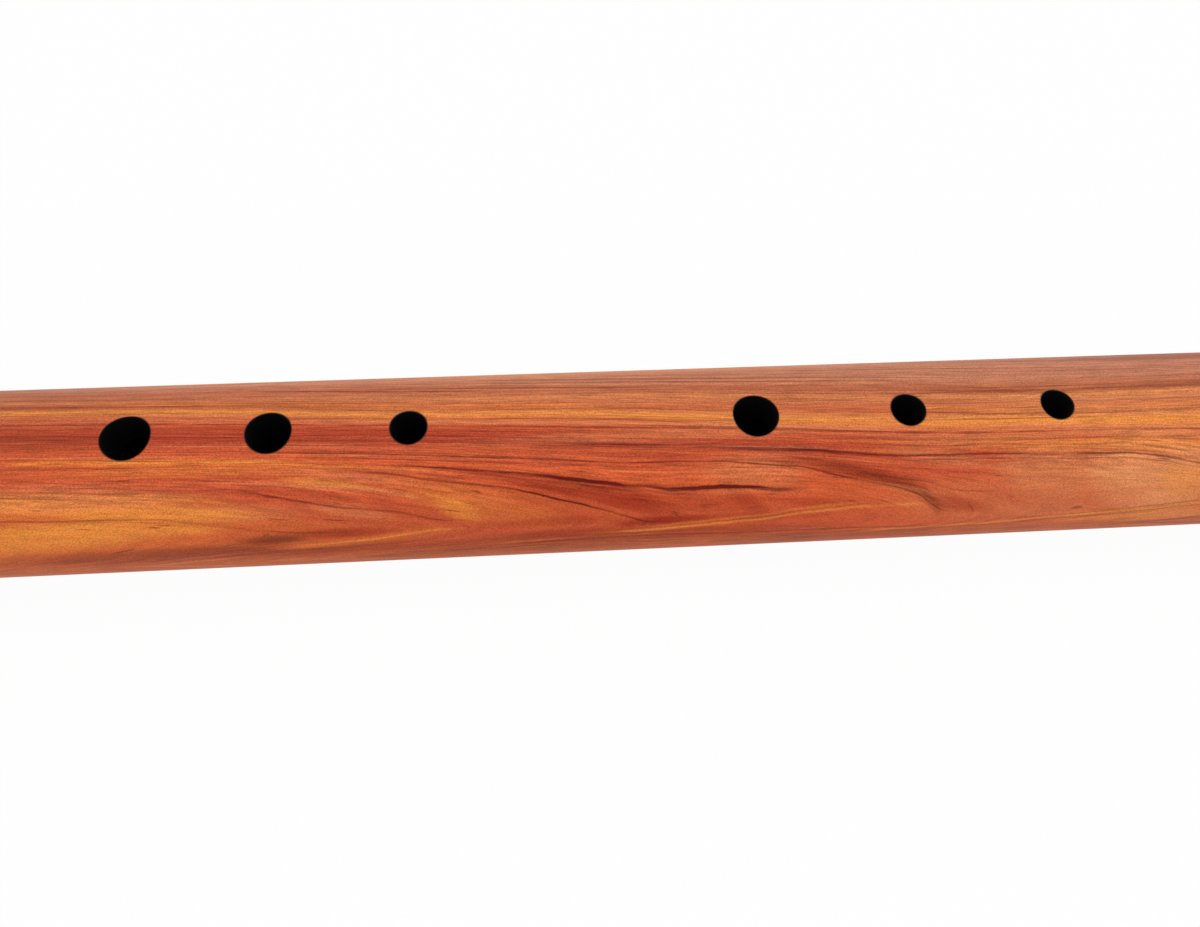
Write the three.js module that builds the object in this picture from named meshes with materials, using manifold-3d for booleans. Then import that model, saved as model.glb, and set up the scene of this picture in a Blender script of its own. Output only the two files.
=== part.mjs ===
// A six-hole duct flute of red cedar, with its block tied over the flue.
// Millimetres, +X from the mouth to the foot, +Z through the finger holes.
// While the pieces are made the bore's axis is Z = 0; the group at the end lifts them so
// that the flute lies on Z = 0, with X = 0 half-way along it.

import * as THREE from 'three';
import { mergeVertices } from 'three/addons/utils/BufferGeometryUtils.js';
import Module from 'manifold-3d';

// Barrel
const boreDiameter = 19.05;
const wallThickness = 6.35;
const footRounding = 1.6;
const footBoreChamfer = 0.9;

// Finger holes, counted from the foot
const footToFirstHole = 163;
const lowerHandSpacing = 25.35;
const handGap = 55.75;
const upperHandSpacing = 21.75;
const fingerHoleDiameters = [5.5, 5.8, 7.45, 5.9, 7.15, 7.65];

// Voicing: the flue, the sound hole and its splitting edge
const footToSoundHole = 480;
const flueWidth = 9.5;
const flueHeight = 1.0;
const flueLength = 19;
const soundHoleLength = 5.6;
const splittingEdgeDrop = 0.8;
const splittingBevelLength = 3.5;
const splittingUndercutAngle = THREE.MathUtils.degToRad(35);
const exitHoleLength = 8;
const exitHoleSlopeLength = 3;

// Nest: the flat planed on the barrel for the block
const nestDepth = 2.675;
const nestBeyondBlock = 5;
const nestEndRadius = 14;

// Breath chamber and the plug that parts it from the sounding bore
const breathChamberLength = 105.1;
const plugBehindSoundHole = 1.5;
const plugBeforeExitHole = 2.5;

// Mouthpiece
const mouthpieceLength = 44;
const mouthpieceRimLength = 3;
const tenonLength = 12;
const tenonWall = 2.725;
const breathHoleDiameter = 6.6;
const breathCupLength = 9;
const lipWidth = 5.2;
const lipFlatWidth = 0.7;

// Block and its spacer plate
const chimneyWall = 3.25;
const chimneyLean = THREE.MathUtils.degToRad(14);
const chimneySetback = 0.6;
const chimneyBeyondEdge = 5;
const blockTailLength = 16;
const blockFrontLength = 20;
const blockSaddleHeight = 12.5;
const blockCrestRise = 6.5;
const saddleMargin = 0.575;
const plateMargin = 0.3;
const plateBeyondBlock = 1.5;
const flueBehindExitHole = 1.2;

// Lace: a flat leather strip wound round the barrel and the block
const laceWidth = 3.6;
const laceThickness = 1.6;
const laceCorner = 0.45;
const laceSideGap = 0.65;
const laceLayerGap = 0.6;
const laceTurns = 5;
const knotLength = 8.4;
const knotWidth = 7.8;
const knotCrownHeight = 2.6;
const knotFlankMargin = 0.3;
const knotTailLength = 5.2;
const knotTailSplay = THREE.MathUtils.degToRad(24);

// Clearances and overruns
const glueGap = 0.3;
const laceGap = 0.45;
const knotGap = 0.3;
const cutOverrun = 4;

// Facet counts
const barrelSides = 48;
const footRoundingSteps = 3;
const lipSteps = 4;
const holeSides = 32;
const archSteps = 12;
const stationsInABlockZone = 9;
const laceBottomSteps = 13;
const laceTopSteps = 7;
const laceLeadSteps = 12;
const gapSamples = 4;

// Sizes that follow from those above
const boreRadius = boreDiameter / 2;
const barrelRadius = boreRadius + wallThickness;
const barrelDiameter = 2 * barrelRadius;
const tenonRadius = boreRadius - glueGap;
const nestHeight = barrelRadius - nestDepth;
const plugLength = flueLength - plugBehindSoundHole - plugBeforeExitHole;
const lacePitch = laceWidth + laceSideGap;
const blockWidth = flueWidth + 2 * chimneyWall;
const blockSaddleLength = laceTurns * lacePitch + laceWidth + 2 * saddleMargin;
const blockCrestHeight = blockSaddleHeight + blockCrestRise;
const blockSeatZ = nestHeight + flueHeight;
const overallLength = footToSoundHole + soundHoleLength / 2 + plugBehindSoundHole + plugLength
  + breathChamberLength + tenonLength + mouthpieceLength;

// Places along the flute
const footX = overallLength / 2;
const mouthX = -overallLength / 2;
const shoulderX = mouthX + mouthpieceLength;
const tenonX = shoulderX + tenonLength;
const soundHoleX = footX - footToSoundHole;
const flueExitX = soundHoleX - soundHoleLength / 2;
const edgeX = soundHoleX + soundHoleLength / 2;
const exitHoleFrontX = flueExitX - flueLength;
const exitHoleBackX = exitHoleFrontX - exitHoleLength;
const plugFrontX = flueExitX - plugBehindSoundHole;
const chimneyBackX = flueExitX - chimneySetback;
const blockFrontX = edgeX + chimneyBeyondEdge;
const saddleFrontX = blockFrontX - blockFrontLength;
const saddleBackX = saddleFrontX - blockSaddleLength;
const blockBackX = saddleBackX - blockTailLength;
const nestBackX = blockBackX - nestBeyondBlock;
const nestFrontX = blockFrontX + nestBeyondBlock;
const laceX = (saddleBackX + saddleFrontX) / 2;

// Materials
const cedar = { color: 0xb8622f, roughness: 0.45, metalness: 0 };
const cedarLight = { color: 0xc98a52, roughness: 0.5, metalness: 0 };
const cedarDark = { color: 0x8f3f26, roughness: 0.45, metalness: 0 };
const hide = { color: 0x5a3a26, roughness: 0.85, metalness: 0 };

const wasm = await Module();
wasm.setup();

const flute = new THREE.Group();

function addPiece(name, geometry, look) {
  const mesh = new THREE.Mesh(geometry, new THREE.MeshStandardMaterial(look));
  mesh.name = name;
  flute.add(mesh);
}

// Closed geometry to solid and back
function solidOf(geometry) {
  const bare = geometry.clone();
  for (const attribute of Object.keys(bare.attributes)) {
    if (attribute !== 'position') {
      bare.deleteAttribute(attribute);
    }
  }
  const merged = mergeVertices(bare);
  return new wasm.Manifold(new wasm.Mesh({
    numProp: 3,
    vertProperties: new Float32Array(merged.attributes.position.array),
    triVerts: new Uint32Array(merged.index.array),
  }));
}

function geometryOf(solid) {
  const mesh = solid.getMesh();
  const geometry = new THREE.BufferGeometry();
  geometry.setAttribute('position', new THREE.BufferAttribute(new Float32Array(mesh.vertProperties), 3));
  geometry.setIndex(new THREE.BufferAttribute(new Uint32Array(mesh.triVerts), 1));
  geometry.computeVertexNormals();
  return geometry;
}

// A turned shape about the bore's axis, from points [radius, place along X].
// The half step puts a flat facet at the top and at the bottom.
function turned(profile, sides = barrelSides) {
  const points = profile.map(([radius, x]) => new THREE.Vector2(radius, x));
  const geometry = new THREE.LatheGeometry(points, sides, Math.PI / sides);
  geometry.rotateZ(-Math.PI / 2);
  return geometry;
}

// An outline in the XZ plane, extruded across Y and centred on the bore's axis
function acrossY(outline, width) {
  const geometry = new THREE.ExtrudeGeometry(outline, { depth: width, bevelEnabled: false });
  geometry.rotateX(Math.PI / 2);
  geometry.translate(0, width / 2, 0);
  return geometry;
}

function outlineOf(points) {
  return new THREE.Shape(points.map(([x, z]) => new THREE.Vector2(x, z)));
}

function halfSpaceBox(side) {
  const geometry = new THREE.BoxGeometry(2 * overallLength, 2 * barrelDiameter, barrelDiameter);
  geometry.translate(0, 0, side * barrelDiameter / 2);
  return solidOf(geometry);
}

// Barrel

function barrelTube() {
  const profile = [
    [boreRadius, shoulderX],
    [barrelRadius, shoulderX],
  ];
  for (let step = 0; step <= footRoundingSteps; step += 1) {
    const angle = (step / footRoundingSteps) * Math.PI / 2;
    profile.push([
      barrelRadius - footRounding * (1 - Math.cos(angle)),
      footX - footRounding * (1 - Math.sin(angle)),
    ]);
  }
  profile.push([boreRadius + footBoreChamfer, footX]);
  profile.push([boreRadius, footX - footBoreChamfer]);
  profile.push(profile[0]);
  return solidOf(turned(profile));
}

function fingerHoleCutters() {
  const spacings = [
    footToFirstHole,
    lowerHandSpacing,
    lowerHandSpacing,
    handGap,
    upperHandSpacing,
    upperHandSpacing,
  ];
  let x = footX;
  return fingerHoleDiameters.map((diameter, hole) => {
    x -= spacings[hole];
    const depth = barrelRadius + cutOverrun;
    const drill = new THREE.CylinderGeometry(diameter / 2, diameter / 2, depth, holeSides);
    drill.rotateX(Math.PI / 2);
    drill.translate(x, 0, depth / 2);
    return solidOf(drill);
  });
}

// The sound hole: a square back, and in front a short bevel above and a long undercut
// below that meet in the splitting edge
function soundHoleCutter() {
  const top = barrelRadius + cutOverrun;
  const floor = boreRadius - cutOverrun;
  const edgeZ = nestHeight - splittingEdgeDrop;
  const undercut = (edgeZ - floor) / Math.tan(splittingUndercutAngle);
  return solidOf(acrossY(outlineOf([
    [flueExitX, top],
    [flueExitX, floor],
    [edgeX + undercut, floor],
    [edgeX, edgeZ],
    [edgeX + splittingBevelLength, nestHeight],
    [edgeX + splittingBevelLength, top],
  ]), flueWidth));
}

// The hole that lets the breath out of the chamber, its front wall sloped up into the flue
function exitHoleCutter() {
  const top = barrelRadius + cutOverrun;
  const floor = boreRadius - cutOverrun;
  return solidOf(acrossY(outlineOf([
    [exitHoleBackX, top],
    [exitHoleBackX, floor],
    [exitHoleFrontX - exitHoleSlopeLength, floor],
    [exitHoleFrontX - exitHoleSlopeLength, boreRadius],
    [exitHoleFrontX, nestHeight],
    [exitHoleFrontX, top],
  ]), flueWidth));
}

function nestCutter() {
  const top = barrelRadius + cutOverrun;
  const rollerZ = nestHeight + nestEndRadius;
  const down = -Math.PI / 2;
  const sweep = Math.acos((rollerZ - top) / nestEndRadius);
  const outline = new THREE.Shape();
  outline.moveTo(nestFrontX, nestHeight);
  outline.absarc(nestFrontX, rollerZ, nestEndRadius, down, down + sweep, false);
  outline.absarc(nestBackX, rollerZ, nestEndRadius, down - sweep, down, false);
  return solidOf(acrossY(outline, 2 * barrelDiameter));
}

function addBarrel() {
  let barrel = barrelTube();
  for (const cutter of [...fingerHoleCutters(), nestCutter(), soundHoleCutter(), exitHoleCutter()]) {
    barrel = barrel.subtract(cutter);
  }
  addPiece('barrel_upper_half', geometryOf(barrel.intersect(halfSpaceBox(1))), cedar);
  addPiece('barrel_lower_half', geometryOf(barrel.intersect(halfSpaceBox(-1))), cedar);
}

// Chamber plug: the wall between the breath chamber and the sounding bore

function addChamberPlug() {
  addPiece('chamber_plug', turned([
    [0, plugFrontX - plugLength],
    [tenonRadius, plugFrontX - plugLength],
    [tenonRadius, plugFrontX],
    [0, plugFrontX],
  ]), cedarLight);
}

// Mouthpiece: a turned ogee from the barrel's diameter to the lip, with a tenon in the bore

function addMouthpiece() {
  const breathRadius = breathHoleDiameter / 2;
  const tipRadius = breathRadius + lipWidth;
  const lipRounding = lipWidth - lipFlatWidth;
  const profile = [
    [breathRadius, tenonX - breathCupLength],
    [breathRadius, mouthX + lipFlatWidth],
    [breathRadius + lipFlatWidth / 2, mouthX],
  ];
  for (let step = 0; step < lipSteps; step += 1) {
    const angle = (step / lipSteps) * Math.PI / 2;
    profile.push([
      tipRadius - lipRounding * (1 - Math.sin(angle)),
      mouthX + lipRounding * (1 - Math.cos(angle)),
    ]);
  }
  const tip = new THREE.Vector2(tipRadius, mouthX + lipRounding);
  const rim = new THREE.Vector2(barrelRadius, shoulderX - mouthpieceRimLength);
  const middleX = (tip.y + rim.y) / 2;
  const ogee = new THREE.CubicBezierCurve(
    tip,
    new THREE.Vector2(tip.x, middleX),
    new THREE.Vector2(rim.x, middleX),
    rim,
  );
  profile.push(...ogee.getPoints(archSteps).map((point) => [point.x, point.y]));
  profile.push([barrelRadius, shoulderX]);
  profile.push([tenonRadius, shoulderX]);
  profile.push([tenonRadius, tenonX]);
  profile.push([tenonRadius - tenonWall, tenonX]);
  profile.push(profile[0]);
  addPiece('mouthpiece', turned(profile), cedar);
}

// Spacer plate: a thin fork under the block whose slot is the flue

function addSpacerPlate() {
  const backX = blockBackX - plateBeyondBlock;
  const frontX = blockFrontX + plateBeyondBlock;
  const slotX = exitHoleBackX - flueBehindExitHole;
  const sideY = blockWidth / 2 + plateMargin;
  const outline = outlineOf([
    [backX, -sideY],
    [frontX, -sideY],
    [frontX, -flueWidth / 2],
    [slotX, -flueWidth / 2],
    [slotX, flueWidth / 2],
    [frontX, flueWidth / 2],
    [frontX, sideY],
    [backX, sideY],
  ]);
  const geometry = new THREE.ExtrudeGeometry(outline, { depth: flueHeight, bevelEnabled: false });
  geometry.translate(0, 0, nestHeight);
  addPiece('spacer_plate', geometry, cedarLight);
}

// Block: lofted from arched sections along X. Each row of a zone's table holds shares: of
// the zone's length, of the half width, of the saddle's height (tail) or of the rise from it
// to the crest (front), and of the half width that the arch is high.

const tailShares = [
  [0, 0.6, 0.5, 1],
  [0.05, 0.8, 0.74, 1],
  [0.3, 0.97, 1.08, 1],
  [0.64, 1, 1.06, 1],
  [1, 1, 1, 1],
];
const frontShares = [
  [0, 1, 0, 1],
  [0.28, 1, 0.44, 0.9],
  [0.6, 1, 1, 0.62],
  [0.86, 0.98, 0.92, 0.56],
  [1, 0.88, 0.66, 0.6],
];

function splineThrough(shares, column) {
  return new THREE.SplineCurve(shares.map((row) => new THREE.Vector2(row[0], row[column])));
}

function zoneStations(zoneX, zoneLength, shares, heightOf) {
  const [widths, heights, arches] = [1, 2, 3].map((column) => splineThrough(shares, column));
  const stations = [];
  for (let step = 0; step < stationsInABlockZone; step += 1) {
    const share = step / (stationsInABlockZone - 1);
    const halfWidth = Math.min(widths.getPoint(share).y, 1) * blockWidth / 2;
    stations.push({
      x: zoneX + widths.getPoint(share).x * zoneLength,
      halfWidth,
      height: heightOf(heights.getPoint(share).y),
      archHeight: arches.getPoint(share).y * halfWidth,
    });
  }
  return stations;
}

function blockSection({ x, halfWidth, height, archHeight }) {
  const ring = [];
  for (let step = 0; step <= archSteps; step += 1) {
    const angle = (step / archSteps) * Math.PI;
    ring.push([
      x,
      halfWidth * Math.cos(angle),
      blockSeatZ + height - archHeight * (1 - Math.sin(angle)),
    ]);
  }
  ring.push([x, -halfWidth, blockSeatZ]);
  ring.push([x, halfWidth, blockSeatZ]);
  return ring;
}

// Joins rings of points into one closed skin, with a fan over each end
function loft(rings) {
  const around = rings[0].length;
  const positions = rings.flat(2);
  const index = [];
  for (let ring = 0; ring < rings.length - 1; ring += 1) {
    for (let point = 0; point < around; point += 1) {
      const next = (point + 1) % around;
      const a = ring * around + point;
      const b = ring * around + next;
      index.push(a, b, a + around, b, b + around, a + around);
    }
  }
  const last = (rings.length - 1) * around;
  for (let point = 1; point < around - 1; point += 1) {
    index.push(0, point + 1, point);
    index.push(last, last + point, last + point + 1);
  }
  const geometry = new THREE.BufferGeometry();
  geometry.setAttribute('position', new THREE.Float32BufferAttribute(positions, 3));
  geometry.setIndex(index);
  geometry.computeVertexNormals();
  return geometry;
}

function chimneyCutter() {
  const top = blockSeatZ + blockCrestHeight + cutOverrun;
  const lean = (top - blockSeatZ + cutOverrun) * Math.tan(chimneyLean);
  return solidOf(acrossY(outlineOf([
    [chimneyBackX, blockSeatZ - cutOverrun],
    [blockFrontX + cutOverrun, blockSeatZ - cutOverrun],
    [blockFrontX + cutOverrun, top],
    [chimneyBackX - lean, top],
  ]), flueWidth));
}

function addBlock() {
  const stations = [
    ...zoneStations(blockBackX, blockTailLength, tailShares,
      (share) => blockSaddleHeight * share),
    ...zoneStations(saddleFrontX, blockFrontLength, frontShares,
      (share) => blockSaddleHeight + blockCrestRise * share),
  ];
  const body = solidOf(loft(stations.map(blockSection)));
  addPiece('block', geometryOf(body.subtract(chimneyCutter())), cedarDark);
}

// Lace. In the YZ plane it runs like a belt round two circles: the barrel's, and the
// saddle's arch. Angles start at +Z and turn towards +Y.

const saddleRadius = blockWidth / 2;
const saddleCentreZ = blockSeatZ + blockSaddleHeight - saddleRadius;
const beltLean = Math.asin((barrelRadius - saddleRadius) / saddleCentreZ);
const topHalfAngle = Math.PI / 2 - beltLean;
const laceBottomStep = 2 * (Math.PI - topHalfAngle) / laceBottomSteps;
const laceTopStep = 2 * topHalfAngle / laceTopSteps;

// Centre line of the lace at one angle, lifted by a number of layers
function beltPoint(angle, onTop, layers, x) {
  const lift = laceGap + laceThickness / 2 + layers * (laceThickness + laceLayerGap);
  const radius = (onTop ? saddleRadius : barrelRadius) + lift;
  const outward = new THREE.Vector3(0, Math.sin(angle), Math.cos(angle));
  const centre = new THREE.Vector3(x, 0, onTop ? saddleCentreZ : 0);
  return { point: centre.addScaledVector(outward, radius), outward };
}

// One turn's stations from the top round to the top, as angles and the circle they are on
function beltAngles() {
  const angles = [];
  for (let step = 0; step <= (laceTopSteps - 1) / 2; step += 1) {
    angles.push({ angle: (step + 0.5) * laceTopStep, onTop: true });
  }
  for (let step = 0; step <= laceBottomSteps; step += 1) {
    angles.push({ angle: topHalfAngle + step * laceBottomStep, onTop: false });
  }
  for (let step = (laceTopSteps - 1) / 2; step >= 0; step -= 1) {
    angles.push({ angle: 2 * Math.PI - (step + 0.5) * laceTopStep, onTop: true });
  }
  return angles;
}

function smooth(share) {
  const clipped = Math.min(Math.max(share, 0), 1);
  return clipped * clipped * (3 - 2 * clipped);
}

// The lace leaves the knot on the lifted layer and first runs straight, one lace width long.
// The knot's flank is square to that run.
const knotRadius = saddleRadius + laceGap + laceThickness * 3 / 2 + laceLayerGap;
const leadAngle = Math.asin(knotWidth / 2 / knotRadius);
const leadRunAngle = 2 * Math.asin(laceWidth / 2 / knotRadius);

// A lead runs from the knot over the other turns, then drops beside the outermost one
const leadCrossingShares = [0.14, 0.68];
const leadDropShares = [0.66, 1];

function leadStations() {
  const outermost = -(laceTurns / 2 - topHalfAngle / (2 * Math.PI)) * lacePitch;
  const leaveArc = beltPoint(topHalfAngle, true, 1, laceX);
  const landed = beltPoint(topHalfAngle, false, 1, laceX);
  const arcLength = knotRadius * (topHalfAngle - leadAngle);
  const straightLength = leaveArc.point.distanceTo(landed.point);
  const total = arcLength + straightLength;
  const run = leadRunAngle * knotRadius;
  const stations = [beltPoint(leadAngle, true, 1, laceX)];
  for (let step = 0; step < laceLeadSteps; step += 1) {
    const along = run + (step / laceLeadSteps) * (total - run);
    const share = along / total;
    const x = laceX + outermost * smooth((share - leadCrossingShares[0])
      / (leadCrossingShares[1] - leadCrossingShares[0]));
    const drop = smooth((share - leadDropShares[0]) / (leadDropShares[1] - leadDropShares[0]));
    if (along <= arcLength) {
      stations.push(beltPoint(leadAngle + along / knotRadius, true, 1, x));
    } else {
      const upper = beltPoint(topHalfAngle, true, 1 - drop, x);
      const lower = beltPoint(topHalfAngle, false, 1 - drop, x);
      const part = (along - arcLength) / straightLength;
      stations.push({ point: upper.point.lerp(lower.point, part), outward: upper.outward });
    }
  }
  return stations;
}

function laceStations() {
  const lead = leadStations();
  const wound = [];
  for (let turn = 0; turn < laceTurns; turn += 1) {
    for (const { angle, onTop } of beltAngles()) {
      const inFirstLead = turn === 0 && onTop && angle < Math.PI;
      const inLastLead = turn === laceTurns - 1 && onTop && angle > Math.PI;
      if (!inFirstLead && !inLastLead) {
        const turnsFromMiddle = turn + angle / (2 * Math.PI) - laceTurns / 2;
        wound.push(beltPoint(angle, onTop, 0, laceX + turnsFromMiddle * lacePitch));
      }
    }
  }
  const turnedLead = lead.map(({ point, outward }) => ({
    point: new THREE.Vector3(2 * laceX - point.x, -point.y, point.z),
    outward: new THREE.Vector3(0, -outward.y, outward.z),
  }));
  return [...lead, ...wound, ...turnedLead.reverse()];
}

function laceRings() {
  const stations = laceStations();
  const halfWidth = laceWidth / 2;
  const halfThickness = laceThickness / 2;
  const section = [
    [halfWidth, -halfThickness + laceCorner],
    [halfWidth, halfThickness - laceCorner],
    [halfWidth - laceCorner, halfThickness],
    [-halfWidth + laceCorner, halfThickness],
    [-halfWidth, halfThickness - laceCorner],
    [-halfWidth, -halfThickness + laceCorner],
    [-halfWidth + laceCorner, -halfThickness],
    [halfWidth - laceCorner, -halfThickness],
  ];
  return stations.map(({ point, outward }, station) => {
    const before = stations[Math.max(station - 1, 0)].point;
    const after = stations[Math.min(station + 1, stations.length - 1)].point;
    const along = after.clone().sub(before).normalize();
    const across = outward.clone().cross(along).normalize();
    return section.map(([side, up]) => point.clone()
      .addScaledVector(across, side)
      .addScaledVector(outward, up)
      .toArray());
  });
}

// Least distance between points of the lace that are half a turn or more apart along it
function leastLaceGap(rings) {
  const points = [];
  for (let ring = 0; ring < rings.length - 1; ring += 1) {
    for (let sample = 0; sample < gapSamples; sample += 1) {
      const share = sample / gapSamples;
      for (let corner = 0; corner < rings[ring].length; corner += 1) {
        const next = (corner + 1) % rings[ring].length;
        const [a, b, c, d] = [rings[ring][corner], rings[ring + 1][corner], rings[ring][next],
          rings[ring + 1][next]].map((place) => new THREE.Vector3(...place));
        const here = a.lerp(b, share);
        const beside = c.lerp(d, share);
        for (let part = 0; part < gapSamples; part += 1) {
          points.push({ ring, place: here.clone().lerp(beside, part / gapSamples) });
        }
      }
    }
  }
  const halfTurn = (laceBottomSteps + laceTopSteps) / 2;
  let least = Infinity;
  for (let first = 0; first < points.length; first += 1) {
    for (let second = first + 1; second < points.length; second += 1) {
      if (points[second].ring - points[first].ring > halfTurn) {
        least = Math.min(least, points[first].place.distanceToSquared(points[second].place));
      }
    }
  }
  return Math.sqrt(least);
}

function addLace() {
  const rings = laceRings();
  console.log(`least gap of the lace to itself: ${leastLaceGap(rings).toFixed(3)} mm`);
  addPiece('block_tie', loft(rings), hide);
}

// Knot: a flattened bundle over the turns, lofted along X. Its flanks face down and
// outwards, square to the two leads, and the lace's cut tails leave it fore and aft.

const knotLoftShares = [[-0.5, 0.5], [-0.45, 0.78], [-0.32, 1], [0.32, 1], [0.45, 0.78], [0.5, 0.5]];

function knotOutline() {
  const runAngle = leadAngle + leadRunAngle / 2;
  const along = new THREE.Vector2(Math.cos(runAngle), -Math.sin(runAngle));
  const up = new THREE.Vector2(Math.sin(runAngle), Math.cos(runAngle));
  const flank = new THREE.Vector2(knotWidth / 2, saddleCentreZ + knotRadius * Math.cos(leadAngle))
    .addScaledVector(along, -knotGap);
  const reach = laceThickness / 2 + knotFlankMargin;
  const high = flank.clone().addScaledVector(up, reach);
  const low = flank.clone().addScaledVector(up, -reach);
  const outline = [];
  for (let step = 0; step <= archSteps; step += 1) {
    const angle = (step / archSteps) * Math.PI;
    outline.push([high.x * Math.cos(angle), high.y + knotCrownHeight * Math.sin(angle)]);
  }
  outline.push([-low.x, low.y]);
  const seatRadius = saddleRadius + laceGap + laceThickness + knotGap;
  const seatAngle = laceTopStep / 2;
  outline.push([-seatRadius * Math.sin(seatAngle), saddleCentreZ + seatRadius * Math.cos(seatAngle)]);
  outline.push([seatRadius * Math.sin(seatAngle), saddleCentreZ + seatRadius * Math.cos(seatAngle)]);
  outline.push([low.x, low.y]);
  return { outline, middle: flank.y };
}

function knotTail(side) {
  const reach = knotLength / 2 + knotTailLength;
  const tail = new THREE.BoxGeometry(reach, laceWidth, laceThickness);
  tail.translate(reach / 2, 0, 0);
  tail.rotateZ(knotTailSplay + (side > 0 ? 0 : Math.PI));
  tail.translate(laceX, 0, saddleCentreZ + knotRadius);
  return solidOf(tail);
}

function addKnot() {
  const { outline, middle } = knotOutline();
  const rings = knotLoftShares.map(([place, size]) => outline.map(([y, z]) => [
    laceX + place * knotLength,
    y * size,
    middle + (z - middle) * size,
  ]));
  const knot = solidOf(loft(rings)).add(knotTail(1)).add(knotTail(-1));
  addPiece('tie_knot', geometryOf(knot), hide);
}

addBarrel();
addChamberPlug();
addMouthpiece();
addSpacerPlate();
addBlock();
addLace();
addKnot();

// The flute lies on Z = 0, on the lace's lowest facets
flute.position.z = -new THREE.Box3().setFromObject(flute).min.z;

export default flute;
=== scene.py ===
# A six-hole duct flute of aromatic red cedar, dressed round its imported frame.
# Sizes are in millimetres in the flute's own frame: X from mouth to foot, Z up, Y across,
# and heights measured from the bore's axis. The meshes are made in metres at the end.

import math
from functools import lru_cache, reduce
from itertools import product

import bmesh
import bpy
import numpy as np
from mathutils import Euler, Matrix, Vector


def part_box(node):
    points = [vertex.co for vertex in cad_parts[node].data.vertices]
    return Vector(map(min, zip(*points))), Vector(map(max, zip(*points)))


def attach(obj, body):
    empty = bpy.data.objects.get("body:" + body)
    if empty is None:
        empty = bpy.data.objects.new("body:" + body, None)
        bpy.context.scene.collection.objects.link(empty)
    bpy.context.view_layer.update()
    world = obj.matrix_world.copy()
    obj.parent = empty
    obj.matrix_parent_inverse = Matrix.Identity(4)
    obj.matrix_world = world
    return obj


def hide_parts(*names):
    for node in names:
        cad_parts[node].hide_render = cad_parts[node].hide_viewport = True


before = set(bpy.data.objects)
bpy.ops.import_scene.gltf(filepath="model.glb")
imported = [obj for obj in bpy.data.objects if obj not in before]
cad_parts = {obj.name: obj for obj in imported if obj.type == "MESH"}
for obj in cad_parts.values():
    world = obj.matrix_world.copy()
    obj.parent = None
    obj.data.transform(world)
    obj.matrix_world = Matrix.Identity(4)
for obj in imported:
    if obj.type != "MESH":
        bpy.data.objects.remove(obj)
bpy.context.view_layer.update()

MM = 0.001
TINY = 1e-6

# Photograph
PICTURE_WIDTH = 1200
PICTURE_HEIGHT = 927

# Camera, fitted to the barrel's edges and the six holes
CAMERA_PLACE = Vector((83.24, -59.95, 149.10))
CAMERA_TURN = Euler([math.radians(angle) for angle in (24.497, -2.141, -3.403)])
CAMERA_LENS = 24.355
CAMERA_NEAR = 5
SENSOR_WIDTH = 36.0

# Barrel
BORE_RADIUS = 9.525
BARREL_RADIUS = 15.875
FOOT_ROUNDING = 1.6
FOOT_BORE_CHAMFER = 0.9
RIM_ROUNDING = 0.2
RIM_INSIDE = 0.14
CHAR_RIM = 0.02
CHAR_FADE = 0.1
# Painted shade in the bore under each finger hole: how far it reaches along X, and how far past the
# bore's radius points count as in the bore
BORE_SHADE_REACH = 16.0
BORE_SHADE_DEPTH = 0.1

# Finger holes, counted from the foot
FOOT_TO_FIRST_HOLE = 163.0
LOWER_HAND_SPACING = 25.35
HAND_GAP = 55.75
UPPER_HAND_SPACING = 21.75
FINGER_HOLE_DIAMETERS = (5.5, 5.8, 7.45, 5.9, 7.15, 7.65)

# Voicing
FOOT_TO_SOUND_HOLE = 480.0
FLUE_WIDTH = 9.5
FLUE_LENGTH = 19.0
SOUND_HOLE_LENGTH = 5.6
SPLITTING_EDGE_DROP = 0.8
SPLITTING_BEVEL_LENGTH = 3.5
SPLITTING_UNDERCUT_ANGLE = math.radians(35)
EXIT_HOLE_LENGTH = 8.0
EXIT_HOLE_SLOPE_LENGTH = 3.0
NEST_HEIGHT = 13.2
NEST_BEYOND_BLOCK = 5.0
NEST_END_RADIUS = 14.0
CUT_OVERRUN = 4.0
CUT_TOP = BARREL_RADIUS + CUT_OVERRUN
CUT_FLOOR = BORE_RADIUS - CUT_OVERRUN

# Block: rows of shares as in the part, and the chimney cut into its front
BLOCK_TAIL_LENGTH = 16.0
BLOCK_FRONT_LENGTH = 20.0
BLOCK_SADDLE_HEIGHT = 12.5
BLOCK_CREST_RISE = 6.5
CHIMNEY_LEAN = math.radians(14)
CHIMNEY_SETBACK = 0.6
TAIL_SHARES = [
    (0, 0.6, 0.5, 1), (0.05, 0.8, 0.74, 1), (0.3, 0.97, 1.08, 1), (0.64, 1, 1.06, 1),
    (1, 1, 1, 1),
]
FRONT_SHARES = [
    (0, 1, 0, 1), (0.28, 1, 0.44, 0.9), (0.6, 1, 1, 0.62), (0.86, 0.98, 0.92, 0.56),
    (1, 0.88, 0.66, 0.6),
]
BLOCK_EDGE_ROUNDING = 0.3
BLOCK_EDGE_ANGLE = math.radians(50)

# Mouthpiece
MOUTHPIECE_RIM_LENGTH = 3.0
TENON_LENGTH = 12.0
TENON_WALL = 2.725
GLUE_GAP = 0.3
BREATH_HOLE_RADIUS = 3.3
BREATH_CUP_LENGTH = 9.0
LIP_WIDTH = 5.2
LIP_FLAT_WIDTH = 0.7

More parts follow.
